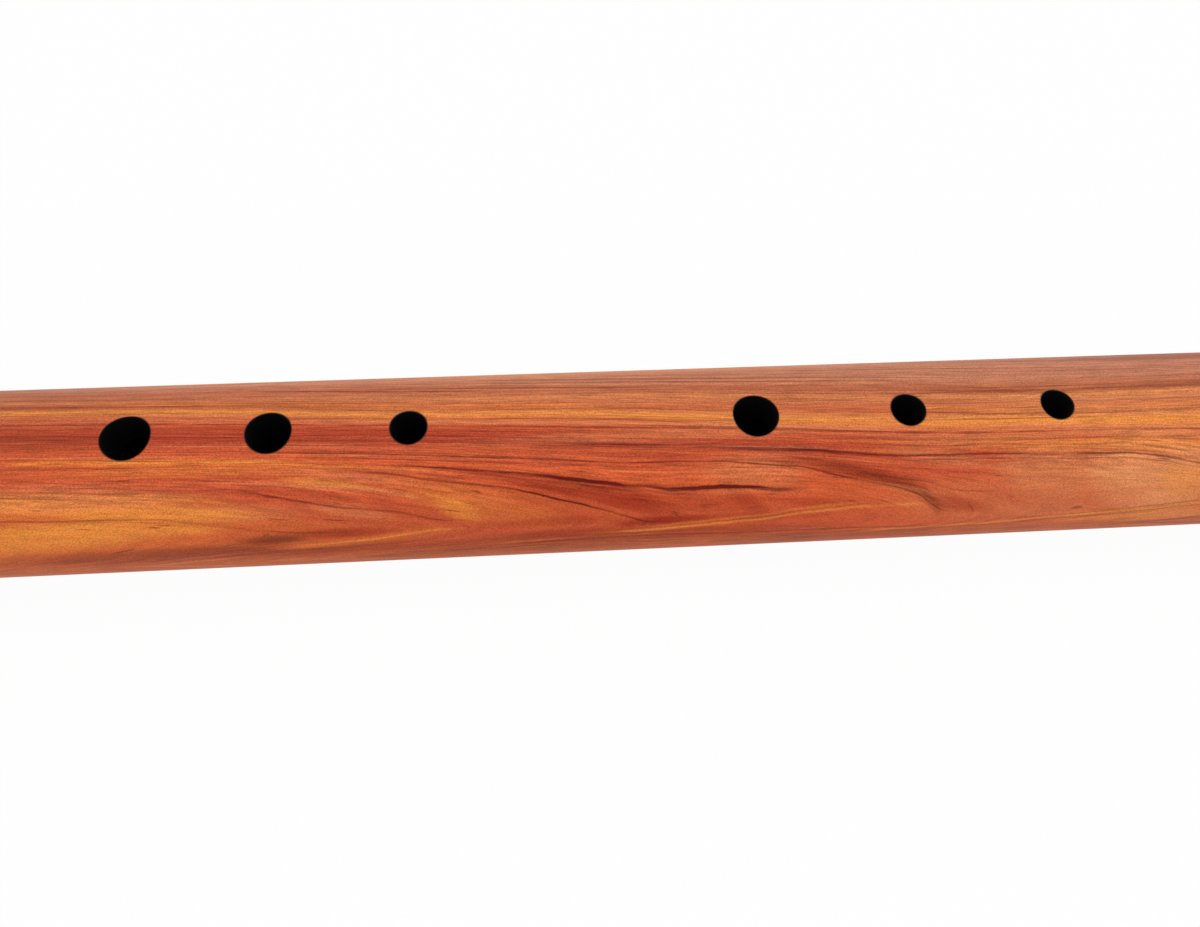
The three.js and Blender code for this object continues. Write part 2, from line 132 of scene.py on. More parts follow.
# Lace and knot. The leather lies closer to the wood than its plain solid, and is flat there.
LACE_WIDTH = 3.6
LACE_THICKNESS = 1.5
LACE_CORNER = 0.3
LACE_HALF_FLAT = 0.02
LACE_GAP = 0.12
LACE_LAYER_GAP = 0.12
LACE_PITCH = 4.25
LACE_TURNS = 5
LEAD_START_SHARE = 0.1
LEAD_CROSSING_SHARES = (0.04, 0.8)
LEAD_DROP_SHARES = (0.7, 1.0)
KNOT_HALF_WIDTH = 4.1
KNOT_BOTTOM_GAP = 0.15
KNOT_TOP_MARGIN = 0.15
KNOT_STRIP_WIDTH = 2.35
KNOT_STRIP_THICKNESS = 1.25
KNOT_TURNS = 2
KNOT_HALF_SPAN = 2.4
TAIL_LENGTH = 10.5
TAIL_SPLAY = math.radians(16)
TAIL_FALL = 0.7
TAIL_FALLEN_SHARE = 1 / 1.15
TAIL_OPEN_SHARE = 1 / 1.6
TAIL_CURL = 0.9
TAIL_CURL_SHARE = 0.6

# Slow waves along the lace's edges: (reach, pace, start)
LACE_SWAYS = ((0.06, 0.37, 0), (0.04, 0.91, 1))

# Places that the frame gives
upper_low, upper_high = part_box("barrel_upper_half")
block_low, block_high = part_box("block")
AXIS_Z = upper_low.z / MM
AXIS_LIFT = np.array([0, 0, AXIS_Z])
SHOULDER_X = upper_low.x / MM
FOOT_X = upper_high.x / MM
BLOCK_BACK_X = block_low.x / MM
BLOCK_FRONT_X = block_high.x / MM
BLOCK_HALF_WIDTH = block_high.y / MM
BLOCK_SEAT_Z = block_low.z / MM - AXIS_Z
MOUTH_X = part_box("mouthpiece")[0].x / MM
KNOT_TOP_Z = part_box("tie_knot")[1].z / MM - AXIS_Z

# Finger holes as (place along X, radius), from the foot
HOLE_SPACINGS = (
    FOOT_TO_FIRST_HOLE, LOWER_HAND_SPACING, LOWER_HAND_SPACING,
    HAND_GAP, UPPER_HAND_SPACING, UPPER_HAND_SPACING,
)
HOLE_PLACES = FOOT_X - np.cumsum(HOLE_SPACINGS)
FINGER_HOLES = [(x, diameter / 2) for x, diameter in zip(HOLE_PLACES, FINGER_HOLE_DIAMETERS)]

# Places that follow from the sizes
SOUND_HOLE_X = FOOT_X - FOOT_TO_SOUND_HOLE
FLUE_EXIT_X = SOUND_HOLE_X - SOUND_HOLE_LENGTH / 2
EDGE_X = SOUND_HOLE_X + SOUND_HOLE_LENGTH / 2
EXIT_HOLE_FRONT_X = FLUE_EXIT_X - FLUE_LENGTH
EXIT_HOLE_BACK_X = EXIT_HOLE_FRONT_X - EXIT_HOLE_LENGTH
NEST_BACK_X = BLOCK_BACK_X - NEST_BEYOND_BLOCK
NEST_FRONT_X = BLOCK_FRONT_X + NEST_BEYOND_BLOCK
SADDLE_BACK_X = BLOCK_BACK_X + BLOCK_TAIL_LENGTH
SADDLE_FRONT_X = BLOCK_FRONT_X - BLOCK_FRONT_LENGTH
LACE_X = (SADDLE_BACK_X + SADDLE_FRONT_X) / 2
SADDLE_CENTRE_Z = BLOCK_SEAT_Z + BLOCK_SADDLE_HEIGHT - BLOCK_HALF_WIDTH
BELT_LEAN = math.asin((BARREL_RADIUS - BLOCK_HALF_WIDTH) / SADDLE_CENTRE_Z)
TOP_HALF_ANGLE = math.pi / 2 - BELT_LEAN
LACE_TOP_Z = SADDLE_CENTRE_Z + BLOCK_HALF_WIDTH + LACE_GAP + LACE_THICKNESS
KNOT_HIGH_Z = KNOT_TOP_Z - KNOT_TOP_MARGIN
KNOT_MIDDLE_Z = (LACE_TOP_Z + KNOT_BOTTOM_GAP + KNOT_HIGH_Z) / 2

# Mesh steps and tolerances
HOLE_PATCH_HALF = 6.0
HOLE_PATCH_STEPS = 16
PATCH_STEP = 2 * HOLE_PATCH_HALF / HOLE_PATCH_STEPS
PATCH_SHARES = (0, 0.2, 0.38, 0.54, 0.68, 0.79, 0.88, 0.95, 1)
RIM_STEPS = 6
FOOT_STEPS = 6
NEST_END_STEPS = 24
LIP_STEPS = 16
MOUTHPIECE_STEPS = 48
MOUTHPIECE_SIDES = 120
BLOCK_STEPS = 32
ARCH_STEPS = 40
SIDE_STEPS = 6
SEAT_STEPS = 16
SADDLE_STEPS = 12
BELT_STEPS = 60
LEAD_START_STEPS = 6
LEAD_STEPS = 40
KNOT_STEPS = 24
TAIL_STEPS = 18
CORNER_STEPS = 3
WALL_SHARES = (0.15, 0.4, 0.7, 1)
BORE_SHARES = (0.3, 0.65, 1)
FOOT_SHARES = (0.33, 0.67, 1)
SIDE_ROWS = 36
SEEN_COLUMN_STEP = 1.25
SEEN_MARGIN = 6.0
PLAIN_COLUMN_STEP = 4.0
HEAD_END_X = -124.0
END_REACH = 0.01
SMOOTH_ANGLE = math.radians(32)
WELD_REACH = 0.002
SLIVER = 0.0005
ROUND_REACH = 0.004
ACROSS_LIMIT = 0.1

# Stage, with its places in metres
WHITE = (1, 1, 1, 1)
PAPER = (0.85, 0.85, 0.85, 1)
PAPER_ROUGHNESS = 0.9
PAPER_GLOSS = 0.1
FLOOR_REACH = 6.0
FLOOR_GLOW_SHARE = 0.96
WORLD_LEVEL = 0.76
LIGHT_TARGET = Vector((0.05, 0, 0))

# Finish: each surface's gloss and the depth of its bumps
SATIN_GLARE = 0.012
DARKEST = 0.002
CEDAR_GLOSS = 0.1
CEDAR_RELIEF = 0.012
HIDE_GLOSS = 0.25
HIDE_RELIEF = 0.08

# Colours, as they look in the photograph
CEDAR_GOLD = (226, 138, 64)
CEDAR_ORANGE = (210, 108, 58)
CEDAR_PALE = (222, 142, 92)
CEDAR_CRIMSON = (150, 50, 36)
CEDAR_MAROON = (104, 36, 32)
CEDAR_BROWN = (128, 60, 40)
# Tan wood with a painted sheen, the satin finish's reflection along the top edge, mixed into it
CEDAR_SHEENED_TAN = (188, 119, 90)
CEDAR_UMBER = (176, 98, 69)
CEDAR_TAN = (196, 116, 76)
CEDAR_RUSSET = (189, 98, 64)
CEDAR_HONEY = (213, 129, 73)
CEDAR_SALMON = (204, 107, 69)
CEDAR_RED = (190, 84, 55)
CEDAR_DEEP_RED = (175, 70, 50)
CEDAR_EMBER = (204, 93, 56)
# Black of the burnt hole walls, used also as painted shade in the bore under the holes
CHAR_AND_SHADE = (22, 19, 17)
HIDE = (92, 60, 40)
HIDE_WORN = (122, 84, 58)
HIDE_DARK = (52, 33, 23)

# Colour of the boards by growth ring: (ring height, colour). In the seen stretch the two lowest rings lie
# along the top edge, and their colour holds a painted sheen over the tan wood.
RING_COLOURS = [
    (-7.5, CEDAR_SHEENED_TAN), (-5.0, CEDAR_SHEENED_TAN), (-3.2, CEDAR_UMBER), (-0.8, CEDAR_TAN), (1.2, CEDAR_RUSSET),
    (2.6, CEDAR_HONEY), (3.8, CEDAR_SALMON), (5.2, CEDAR_RED), (6.8, CEDAR_DEEP_RED), (8.2, CEDAR_RED),
    (9.8, CEDAR_EMBER), (13.2, CEDAR_RED), (15.6, CEDAR_ORANGE),
]

# Grain of the upper board. Its growth rings are flat sheets whose normal leans from +Z
# towards the seen side, and which climb slowly along the flute.
RIDGE_ANGLE = math.radians(62)
RING_CLIMB = -0.041
RIDGE = (math.cos(RIDGE_ANGLE), -math.sin(RIDGE_ANGLE))

# Routes of grain lines as the photograph shows them, in its pixels, left to right
GRAIN_ROUTES = {
    "top_dark": [(250, 391.8), (345, 391.6), (387, 391.6), (480, 391)],
    "top_brown": [(400, 384.3), (500, 383), (580, 382.5), (700, 381.5), (880, 380.5)],
    "mauve": [(940, 391.5), (1031, 391), (1100, 388), (1200, 384)],
    "upper_dark": [(0, 408), (100, 407), (200, 406), (270, 405)],
    "upper_gold": [(105, 405.5), (300, 405), (395, 405.5), (580, 404.5)],
    "upper_gold_right": [
        (430, 399), (560, 397.3), (656, 395.4), (722, 397.3), (860, 398.3), (890, 399.2), (1000, 396),
        (1100, 393), (1200, 389.5),
    ],
    "orange_right": [(925, 407.5), (1000, 408.7), (1100, 406.5), (1200, 402.4)],
    "gold": [
        (0, 414.5), (96, 412.6), (191, 412), (300, 413.5), (387, 415.5), (433, 414.5), (580, 413.5),
        (656, 415.9), (732, 419.3), (780, 420.3), (860, 422.2), (932, 425), (1001, 420.4), (1070, 419.2),
        (1200, 416.9),
    ],
    "red": [
        (0, 426), (96, 425), (200, 424.5), (300, 425), (452, 426), (580, 427), (700, 428), (860, 431.5),
        (955, 433), (1035, 431.8), (1115, 429), (1200, 428.4),
    ],
    "maroon": [
        (0, 441), (60, 441), (164, 441.5), (236, 441), (300, 441), (429, 439.4), (490, 441.3), (580, 444),
        (660, 445), (742, 447.4), (812, 449), (845, 452), (877, 454.6), (910, 455.6), (944, 455),
        (982, 453.6), (1058, 453.6), (1134, 452.5), (1171, 457), (1200, 463),
    ],
    "third_flame_back": [
        (280, 452.8), (387, 454.7), (422, 455.7), (460, 456.6), (560, 459.5), (625, 463.3), (667, 461.4),
        (722.6, 461), (751, 463.3), (799, 466.2), (828, 471), (863, 474.3), (897, 477.8), (932, 482.3),
        (950, 489.2), (978, 491.5),
    ],
    "middle": [
        (12, 464.3), (67, 463.3), (134, 463.3), (166, 462.4), (191, 461.4), (240, 462.4), (280, 463.3),
        (356, 464.5), (422, 466.8), (471, 470), (510, 472.5), (548, 474.8), (560, 477.7), (589, 480.5),
        (608, 482.4), (625, 485.3), (646, 484.8), (661, 487.8), (673, 489.1), (694, 487.8), (723, 485.6),
        (751, 486.3), (776, 489.1),
    ],
    "third_flame": [
        (800, 466), (851, 478), (872, 482), (890, 485.6), (909, 489.6), (923, 496), (931, 503.5),
        (939, 509), (948, 512),
    ],
    "main_flame": [
        (356.5, 471), (387, 472.9), (404, 475.7), (427, 479.6), (456, 482.4), (481, 485.3), (510, 488.2),
        (536, 493.9), (555, 498.7), (580, 503.5), (594, 507.3), (614, 512.1), (638, 519.7), (650, 522),
    ],
    "first_flame": [
        (10, 488.5), (70, 488.5), (130, 490), (180, 491), (230, 489.7), (249, 492), (300, 501.6),
        (328, 506.4), (353, 508.3), (376, 510.2), (399, 512.1), (422, 516.9), (443, 520.7),
    ],
    "gold_split": [
        (0, 522), (57, 521.7), (96, 520.3), (163, 519.7), (182, 522.6), (210, 525.5), (235, 528),
        (249, 530.3), (300, 533.1), (360, 532), (433, 530),
    ],
    "low_gold_left": [(280, 548), (300, 546.4), (372, 539.7), (414, 533), (436, 529.5)],
    "low_gold": [
        (594, 533.1), (667, 528.4), (723, 522.6), (763, 518.8), (799, 513), (860, 506.4), (910, 504),
    ],
    "low_dark": [
        (488, 545.6), (580, 538.9), (621, 536.8), (667, 534), (723, 533.1), (860, 527.4), (920, 526),
    ],
    "low_gold_right": [(903, 528), (987, 522.5), (1035, 517.9), (1081, 514.5), (1200, 501.9)],
    "pale_upper": [(1000, 464), (1077, 464), (1110, 467), (1160, 471), (1200, 477)],
    "pale_middle": [(987, 480.5), (1056, 482), (1102, 480.5), (1150, 480), (1200, 484)],
    "pale_lower": [(990, 500), (1056, 496), (1102, 492), (1150, 490), (1200, 490)],
}
ROUTE_STEP = 30.0
GRAIN_REACH_ALONG = 20.0
GRAIN_REACH_ROUND = 4.5
GRAIN_SMOOTHING = 0.08
ROUTE_ROUNDING = 0.8

# What is drawn along the routes, by colour:
# (route, distance below it on the surface, half width, strength, first pixel, last pixel)
STROKES = {
    CEDAR_ORANGE: [
        ("maroon", 1.0, 0.3, 0.4, 420, 800), ("red", 1.6, 0.25, 0.45, 600, 1250),
        ("maroon", -0.7, 0.3, 0.5, 860, 1250), ("third_flame_back", -0.5, 0.3, 0.5, 440, 640),
        ("main_flame", 0.6, 0.5, 0.35, 400, 630), ("low_gold_left", 0.0, 0.8, 1.0, 270, 440),
        ("low_dark", -0.6, 0.3, 0.5, 480, 640),
    ],
    CEDAR_PALE: [
        ("top_brown", 0.6, 0.3, 0.45, 400, 900), ("mauve", 1.0, 0.5, 0.5, 930, 1260),
        ("red", -0.7, 0.4, 0.4, 300, 900),
    ],
    CEDAR_GOLD: [
        ("upper_gold", 0.0, 0.24, 0.6, 90, 600), ("upper_gold_right", 0.0, 0.2, 0.55, 430, 1250),
        ("orange_right", 0.0, 0.26, 0.6, 900, 1250), ("gold", 0.0, 0.42, 0.75, -80, 640),
        ("gold", 0.0, 0.5, 0.9, 620, 1250), ("gold", 0.5, 0.4, 0.5, 940, 1250),
        ("middle", 0.0, 0.4, 0.95, 20, 300), ("middle", 0.5, 0.25, 0.45, 290, 430),
        ("low_gold_left", 0.0, 0.22, 0.8, 300, 440), ("low_gold", 0.0, 0.3, 0.75, 600, 930),
        ("low_gold", -0.9, 0.3, 0.4, 660, 860), ("low_gold_right", 0.0, 0.32, 0.75, 890, 1250),
    ],
    CEDAR_BROWN: [
        ("upper_dark", -1.9, 0.18, 0.65, -80, 200), ("upper_dark", 0.0, 0.18, 0.65, -80, 280),
        ("gold", 0.5, 0.13, 0.6, -80, 130), ("gold", -0.9, 0.13, 0.45, 280, 640),
        ("top_brown", 0.0, 0.2, 0.7, 390, 900), ("top_brown", 1.7, 0.2, 0.7, 380, 640),
        ("top_brown", -1.3, 0.2, 0.5, 480, 900), ("upper_gold_right", -1.0, 0.14, 0.45, 560, 960),
        ("mauve", -2.6, 0.14, 0.4, 1040, 1250), ("orange_right", 0.9, 0.16, 0.6, 920, 1250),
        ("orange_right", -1.1, 0.14, 0.4, 1060, 1250), ("middle", 0.8, 0.16, 0.55, -40, 190),
        ("middle", 0.65, 0.14, 0.5, 250, 420), ("gold_split", 0.0, 0.18, 0.65, -80, 340),
        ("low_gold_right", 0.7, 0.15, 0.4, 900, 1250), ("low_gold_right", -0.5, 0.15, 0.45, 1040, 1250),
    ],
    CEDAR_MAROON: [
        ("top_dark", 0.0, 0.17, 0.8, 250, 480), ("mauve", 0.0, 0.45, 0.4, 930, 1250),
        ("red", 0.0, 0.14, 0.65, -80, 1250), ("red", 0.9, 0.13, 0.35, -80, 640),
        ("red", 1.2, 0.13, 0.5, 820, 1250), ("red", 1.9, 0.12, 0.35, 300, 800),
        ("maroon", 0.0, 0.2, 0.85, 560, 1250), ("maroon", 0.1, 0.34, 1.2, 730, 850),
        ("maroon", -0.7, 0.16, 0.5, -80, 560), ("maroon", 0.4, 0.14, 0.4, -80, 700),
        ("maroon", -1.5, 0.14, 0.45, 1000, 1250), ("maroon", 0.75, 0.12, 0.45, 880, 1180),
        ("third_flame_back", 0.0, 0.16, 0.75, 280, 990), ("third_flame_back", 0.7, 0.14, 0.5, 400, 680),
        ("middle", 0.0, 0.17, 0.9, 400, 560), ("middle", 0.1, 0.32, 1.8, 530, 790),
        ("middle", 0.9, 0.2, 0.5, 560, 700), ("third_flame", -1.1, 0.9, 0.55, 780, 900),
        ("third_flame", -0.6, 0.75, 0.5, 860, 955), ("third_flame", 0.0, 0.2, 0.9, 800, 955),
        ("main_flame", 0.0, 0.17, 0.6, 350, 520), ("main_flame", 0.0, 0.19, 1.1, 500, 655),
        ("first_flame", 0.0, 0.15, 0.35, -20, 250), ("first_flame", 0.0, 0.19, 0.75, 240, 450),
        ("low_dark", 0.0, 0.2, 0.5, 480, 930), ("low_dark", 1.0, 0.2, 0.4, 440, 700),
    ],
}
STROKE_FADE = 5.0
BARREL_ROW = 465
SEEN_FADE = 300.0
SEEN_START = 1.1
FACING_RISE = 6
FACING_START = 0.6

# Soft patches of colour on the seen side, in the photograph's pixels:
# (centre x, centre y, half length, half height, rise per pixel to the right, strength)
TONE_PATCHES = {
    CEDAR_PALE: [
        (1160, 470, 80, 44, 0.0, 0.9), (1060, 470, 60, 40, 0.0, 0.5), (1150, 430, 70, 16, 0.0, 0.45),
        (1000, 441, 110, 7, 0.0, 0.45), (940, 456, 50, 8, 0.12, 0.35), (1050, 508, 60, 10, -0.03, 0.4),
        (990, 500, 90, 22, 0.0, 0.25), (755, 471, 45, 16, 0.0, 0.35), (1120, 410, 150, 24, 0.0, 0.35),
        (60, 500, 120, 12, 0.0, 0.5), (240, 513, 60, 8, 0.0, 0.3), (350, 477, 60, 5, 0.1, 0.3),
        # The long strip centred at 500, 374 runs along the top edge: painted sheen.
        (350, 511, 40, 6, 0.1, 0.35), (640, 436, 150, 6, -0.04, 0.35), (500, 374, 420, 5, -0.032, 0.5),
    ],
    CEDAR_GOLD: [
        (150, 515, 92, 8, 0.0, 0.95), (140, 501, 80, 6, 0.0, 0.4), (30, 506, 60, 12, 0.0, 0.5),
        (60, 536, 105, 13, -0.07, 1.0), (170, 530, 48, 6, -0.02, 0.9), (190, 471, 130, 6, -0.03, 0.3),
        (325, 483, 42, 4, 0.1, 0.6), (458, 508, 24, 10, 0.3, 0.75), (436, 497, 16, 4, 0.2, 0.5),
        (480, 504, 80, 14, 0.2, 0.3), (1130, 443, 160, 7, 0.0, 0.45), (1190, 480, 30, 16, 0.0, 0.4),
        (1120, 421, 160, 5, 0.0, 0.45), (600, 547, 700, 5, -0.0449, 0.5),
        (1140, 517, 80, 9, -0.0449, 0.5),
    ],
    CEDAR_CRIMSON: [
        (500, 476, 60, 4, 0.13, 0.6), (560, 488, 60, 7, 0.18, 0.85), (625, 498, 55, 11, 0.2, 0.75),
        (670, 520, 50, 5, -0.06, 0.8), (560, 521, 60, 5, -0.05, 0.45), (560, 505, 60, 26, 0.0, 0.15),
        (740, 517, 70, 5, -0.05, 0.5), (690, 531, 90, 5, -0.045, 0.35), (700, 500, 70, 11, 0.0, 0.4),
        (745, 500, 22, 10, 0.4, 0.6), (650, 456, 60, 5, 0.0, 0.3), (815, 502, 45, 4, 0.05, 0.5),
        (320, 436, 220, 9, 0.0, 0.3), (560, 445, 160, 6, 0.03, 0.25), (345, 533, 55, 5, -0.03, 0.65),
        (632, 523, 14, 3.5, -0.15, 0.95), (580, 534, 60, 6, -0.06, 0.7), (870, 474, 50, 7, 0.22, 0.55),
        (957, 503, 30, 7, 0.15, 0.55), (600, 547, 700, 5, -0.0449, 0.45),
    ],
    CEDAR_BROWN: [
        # The long bands centred at 200, 554, at 560, 541 and at 800, 535 follow the lower edge: a darker
        # brown that is partly grain and partly painted shade.
        (272, 540, 32, 4.5, -0.06, 0.85), (200, 554, 230, 6.5, -0.045, 0.65),
        (40, 415, 90, 28, 0.0, 0.25), (30, 441, 80, 12, 0.0, 0.4), (200, 410, 180, 8, -0.03, 0.2),
        (340, 419, 70, 4, 0.0, 0.25), (560, 541, 200, 8, -0.05, 0.5), (800, 535, 110, 6, -0.045, 0.4),
        (870, 474, 50, 6, 0.22, 0.35), (930, 498, 12, 9, 1.2, 0.5), (990, 391, 50, 3, 0.0, 0.5),
        (950, 399, 40, 3, 0.0, 0.3), (1120, 389, 90, 4, -0.05, 0.45), (1160, 356, 90, 4, -0.03, 0.5),
    ],
}
PATCH_FALL = 0.7


def linear(colour):
    """An 8-bit screen colour as the linear colour that a shader takes, less what the satin
    surface reflects on top of it."""
    shares = np.array(colour) / 255
    light = np.where(shares <= 0.04045, shares / 12.92, ((shares + 0.055) / 1.055) ** 2.4)
    return (*np.maximum(light - SATIN_GLARE, DARKEST), 1.0)


def linked(name, data):
    """A new object in the scene."""
    item = bpy.data.objects.new(name, data)
    bpy.context.scene.collection.objects.link(item)
    return item


# Camera and the places that its pixels show

CAMERA_MATRIX = np.array(CAMERA_TURN.to_matrix())
CAMERA_FROM_AXIS = np.array(CAMERA_PLACE) - AXIS_LIFT
FOCAL_PIXELS = CAMERA_LENS / SENSOR_WIDTH * PICTURE_WIDTH


def surface_at(pixel):
    """(place along X, arc from the top line) where a pixel's ray meets the barrel."""
    across = (pixel[0] - PICTURE_WIDTH / 2) / FOCAL_PIXELS
    down = (pixel[1] - PICTURE_HEIGHT / 2) / FOCAL_PIXELS
    ray = CAMERA_MATRIX @ (across, -down, -1)
    _, y, z = CAMERA_FROM_AXIS
    a = ray[1] ** 2 + ray[2] ** 2
    b = y * ray[1] + z * ray[2]
    c = y ** 2 + z ** 2 - BARREL_RADIUS ** 2
    x, y, z = CAMERA_FROM_AXIS - (b + math.sqrt(b * b - a * c)) / a * ray
    return x, BARREL_RADIUS * math.atan2(-y, z)


def pixels_of(points):
    """Where points lie in the photograph."""
    local = (points - CAMERA_FROM_AXIS) @ CAMERA_MATRIX
    across = PICTURE_WIDTH / 2 - FOCAL_PIXELS * local[:, 0] / local[:, 2]
    down = PICTURE_HEIGHT / 2 + FOCAL_PIXELS * local[:, 1] / local[:, 2]
    return across, down


def add_camera():
    camera = linked("camera", bpy.data.cameras.new("camera"))
    camera.data.lens = CAMERA_LENS
    camera.data.sensor_fit = "HORIZONTAL"
    camera.data.sensor_width = SENSOR_WIDTH
    camera.data.clip_start = CAMERA_NEAR * MM
    camera.location = CAMERA_PLACE * MM
    camera.rotation_euler = CAMERA_TURN
    bpy.context.scene.camera = camera


# Grain

def at_angle(radius, x, angle):
    """Points at a radius from the axis, at angles from the top towards the seen side."""
    return np.stack(np.broadcast_arrays(x, -radius * np.sin(angle), radius * np.cos(angle)), -1)


def places_of(points):
    """(place along X, arc from the top line) of points."""
    return np.stack([points[:, 0], BARREL_RADIUS * np.arctan2(-points[:, 1], points[:, 2])], 1)


def spread(start, end, step):
    """Places or points from start up to but not at end, at about the given step."""
    count = max(1, round(np.linalg.norm(np.subtract(end, start)) / step))
    return list(np.linspace(start, end, count, endpoint=False))


def filled(corners, step):
    """Points from the first corner to the last, at about the given step."""
    points = [point for start, end in zip(corners, corners[1:]) for point in spread(start, end, step)]
    return [*points, corners[-1]]


def route_places(route):
    """A route, filled in at even steps, as places on the barrel."""
    return np.array([surface_at(pixel) for pixel in filled(route, ROUTE_STEP)])


def nearness(places, others):
    along = (places[:, None, 0] - others[:, 0]) / GRAIN_REACH_ALONG
    beside = (places[:, None, 1] - others[:, 1]) / GRAIN_REACH_ROUND
    return np.exp(-(along ** 2 + beside ** 2) / 2)


def fit_grain():
    """The bend that brings the rings onto the routes, each route on one ring."""
    routes = [route_places(route) for route in GRAIN_ROUTES.values()]
    misses = []
    for places in routes:
        points = at_angle(BARREL_RADIUS, places[:, 0], places[:, 1] / BARREL_RADIUS)
        heights = points @ (RING_CLIMB, RIDGE[1], RIDGE[0])
        misses.append(heights.mean() - heights)
    places = np.concatenate(routes)
    table = nearness(places, places) + GRAIN_SMOOTHING * np.eye(len(places))
    return places, np.linalg.solve(table, np.concatenate(misses))


BEND_PLACES, BEND_WEIGHTS = fit_grain()


def below_route(places, route):
    """Distance of places on the barrel below a route, along its surface."""
    route = route_places(route)
    shifts = (-ROUTE_ROUNDING, 0, ROUTE_ROUNDING)
    return places[:, 1] - np.mean([np.interp(places[:, 0] + x, *route.T) for x in shifts], 0)


def tones_at(points):
    """Weight of each tone at points, from the patches seen in the photograph."""
    across, down = pixels_of(points)
    weights = np.zeros((len(points), len(TONE_PATCHES)))
    for place, patches in enumerate(TONE_PATCHES.values()):
        for x, y, half_length, half_height, rise, strength in patches:
            along = (across - x) / half_length
            beside = (down - y - rise * (across - x)) / half_height
            near = strength * np.exp(-PATCH_FALL * (along ** 2 + beside ** 2) ** 2)
            weights[:, place] = np.maximum(weights[:, place], near)
    return weights * facing_camera(points)[:, None]


def facing_camera(points):
    """1 where the barrel's surface shows in the photograph, 0 where it faces away."""
    normal = points * (0, 1, 1)
    normal /= np.maximum(np.linalg.norm(normal, axis=1), TINY)[:, None]
    towards = CAMERA_FROM_AXIS - points
    towards /= np.linalg.norm(towards, axis=1)[:, None]
    return np.clip((normal * towards).sum(1) * FACING_RISE + FACING_START, 0, 1)


def seen_share(points):
    """1 in the stretch of barrel that the photograph shows, falling off past its sides."""
    across, _ = pixels_of(points)
    outside = np.maximum(-across, across - PICTURE_WIDTH)
    return np.clip(SEEN_START - outside / SEEN_FADE, 0, 1) * facing_camera(points)


# Node trees, written as formulas

class Value:
    """A number or colour in a node tree, so that a formula can be written as one."""

    def __init__(self, tree, socket):
        self.tree = tree
        self.socket = socket

    def math(self, operation, *others):
        inputs = dict(enumerate((self, *others)))
        return made(self.tree, "Math", inputs, operation=operation)

    def __add__(self, other):
        return self.math("ADD", other)

    def __mul__(self, other):
        return self.math("MULTIPLY", other)

    def __sub__(self, other):
        return self.math("SUBTRACT", other)

    def __rsub__(self, other):
        return self * -1 + other

    __radd__ = __add__
    __rmul__ = __mul__

    def bell(self):
        """1 at zero, falling to 0 a little past 1 and -1."""
        return (self * self * -1).math("EXPONENT")

    def ramp(self, low, high, first=0.0, last=1.0):
        """Smooth step from first at low to last at high."""
        inputs = {"Value": self, "From Min": low, "From Max": high, "To Min": first, "To Max": last}
        return made(self.tree, "MapRange", inputs, "Result", interpolation_type="SMOOTHSTEP")


def feed(tree, item, socket):
    if isinstance(item, Value):
        tree.links.new(item.socket, socket)
    else:
        socket.default_value = item


def made(tree, kind, inputs, output=0, **settings):
    """An output of a new node, with its inputs fed by number or name."""
    node = tree.nodes.new("ShaderNode" + kind)
    for name, value in settings.items():
        setattr(node, name, value)
    for name, item in inputs.items():
        feed(tree, item, node.inputs[name])
    return Value(tree, node.outputs[output])


def vector_of(tree, *items):
    return made(tree, "CombineXYZ", dict(enumerate(items)))


def noise(tree, vector, detail=2.0, roughness=0.5):
    inputs = {"Vector": vector, "Scale": 1.0, "Detail": detail, "Roughness": roughness}
    return made(tree, "TexNoise", inputs)


def mixed(tree, first, second, share, blend="MIX"):
    """The second colour over the first, by a share. Either may be a screen colour."""
    first, second = [linear(item) if isinstance(item, tuple) else item for item in (first, second)]
    inputs = {0: share, 6: first, 7: second}
    return made(tree, "Mix", inputs, 2, data_type="RGBA", blend_type=blend)


def attribute(tree, name, output="Fac"):
    return made(tree, "Attribute", {}, output, attribute_name=name)


def split(value, kind):
    """The three parts of a vector or colour."""
    node = value.tree.nodes.new("ShaderNodeSeparate" + kind)
    feed(value.tree, value, node.inputs[0])
    return [Value(value.tree, socket) for socket in node.outputs]


def object_place(tree):
    """x, y and z on the piece, in millimetres, with z from the axis."""
    x, y, z = split(made(tree, "TexCoord", {}, "Object"), "XYZ")
    return x * (1 / MM), y * (1 / MM), z * (1 / MM) - AXIS_Z


def new_material(name):
    material = bpy.data.materials.new(name)
    material.use_nodes = True
    return material, material.node_tree


def dress(tree, colour, roughness, specular, height=None, depth=0.0):
    """Feeds the tree's shader, with a bump of a depth in millimetres."""
    inputs = {"Base Color": colour, "Roughness": roughness, "Specular IOR Level": specular}
    if height is not None:
        bump = {"Strength": 1.0, "Distance": depth * MM, "Height": height}
        inputs["Normal"] = made(tree, "Bump", bump)
    for name, item in inputs.items():
        feed(tree, item, tree.nodes["Principled BSDF"].inputs[name])


def ring_colour(tree, height):
    """The boards' colour at a height along the rings' normal."""
    low, high = RING_COLOURS[0][0], RING_COLOURS[-1][0]
    node = tree.nodes.new("ShaderNodeValToRGB")
    feed(tree, (height - low).math("DIVIDE", high - low), node.inputs[0])
    stops = node.color_ramp.elements
    for ring, _ in RING_COLOURS[1:-1]:
        stops.new((ring - low) / (high - low))
    for stop, (_, tint) in zip(stops, RING_COLOURS):
        stop.color = linear(tint)
    return Value(tree, node.outputs[0])


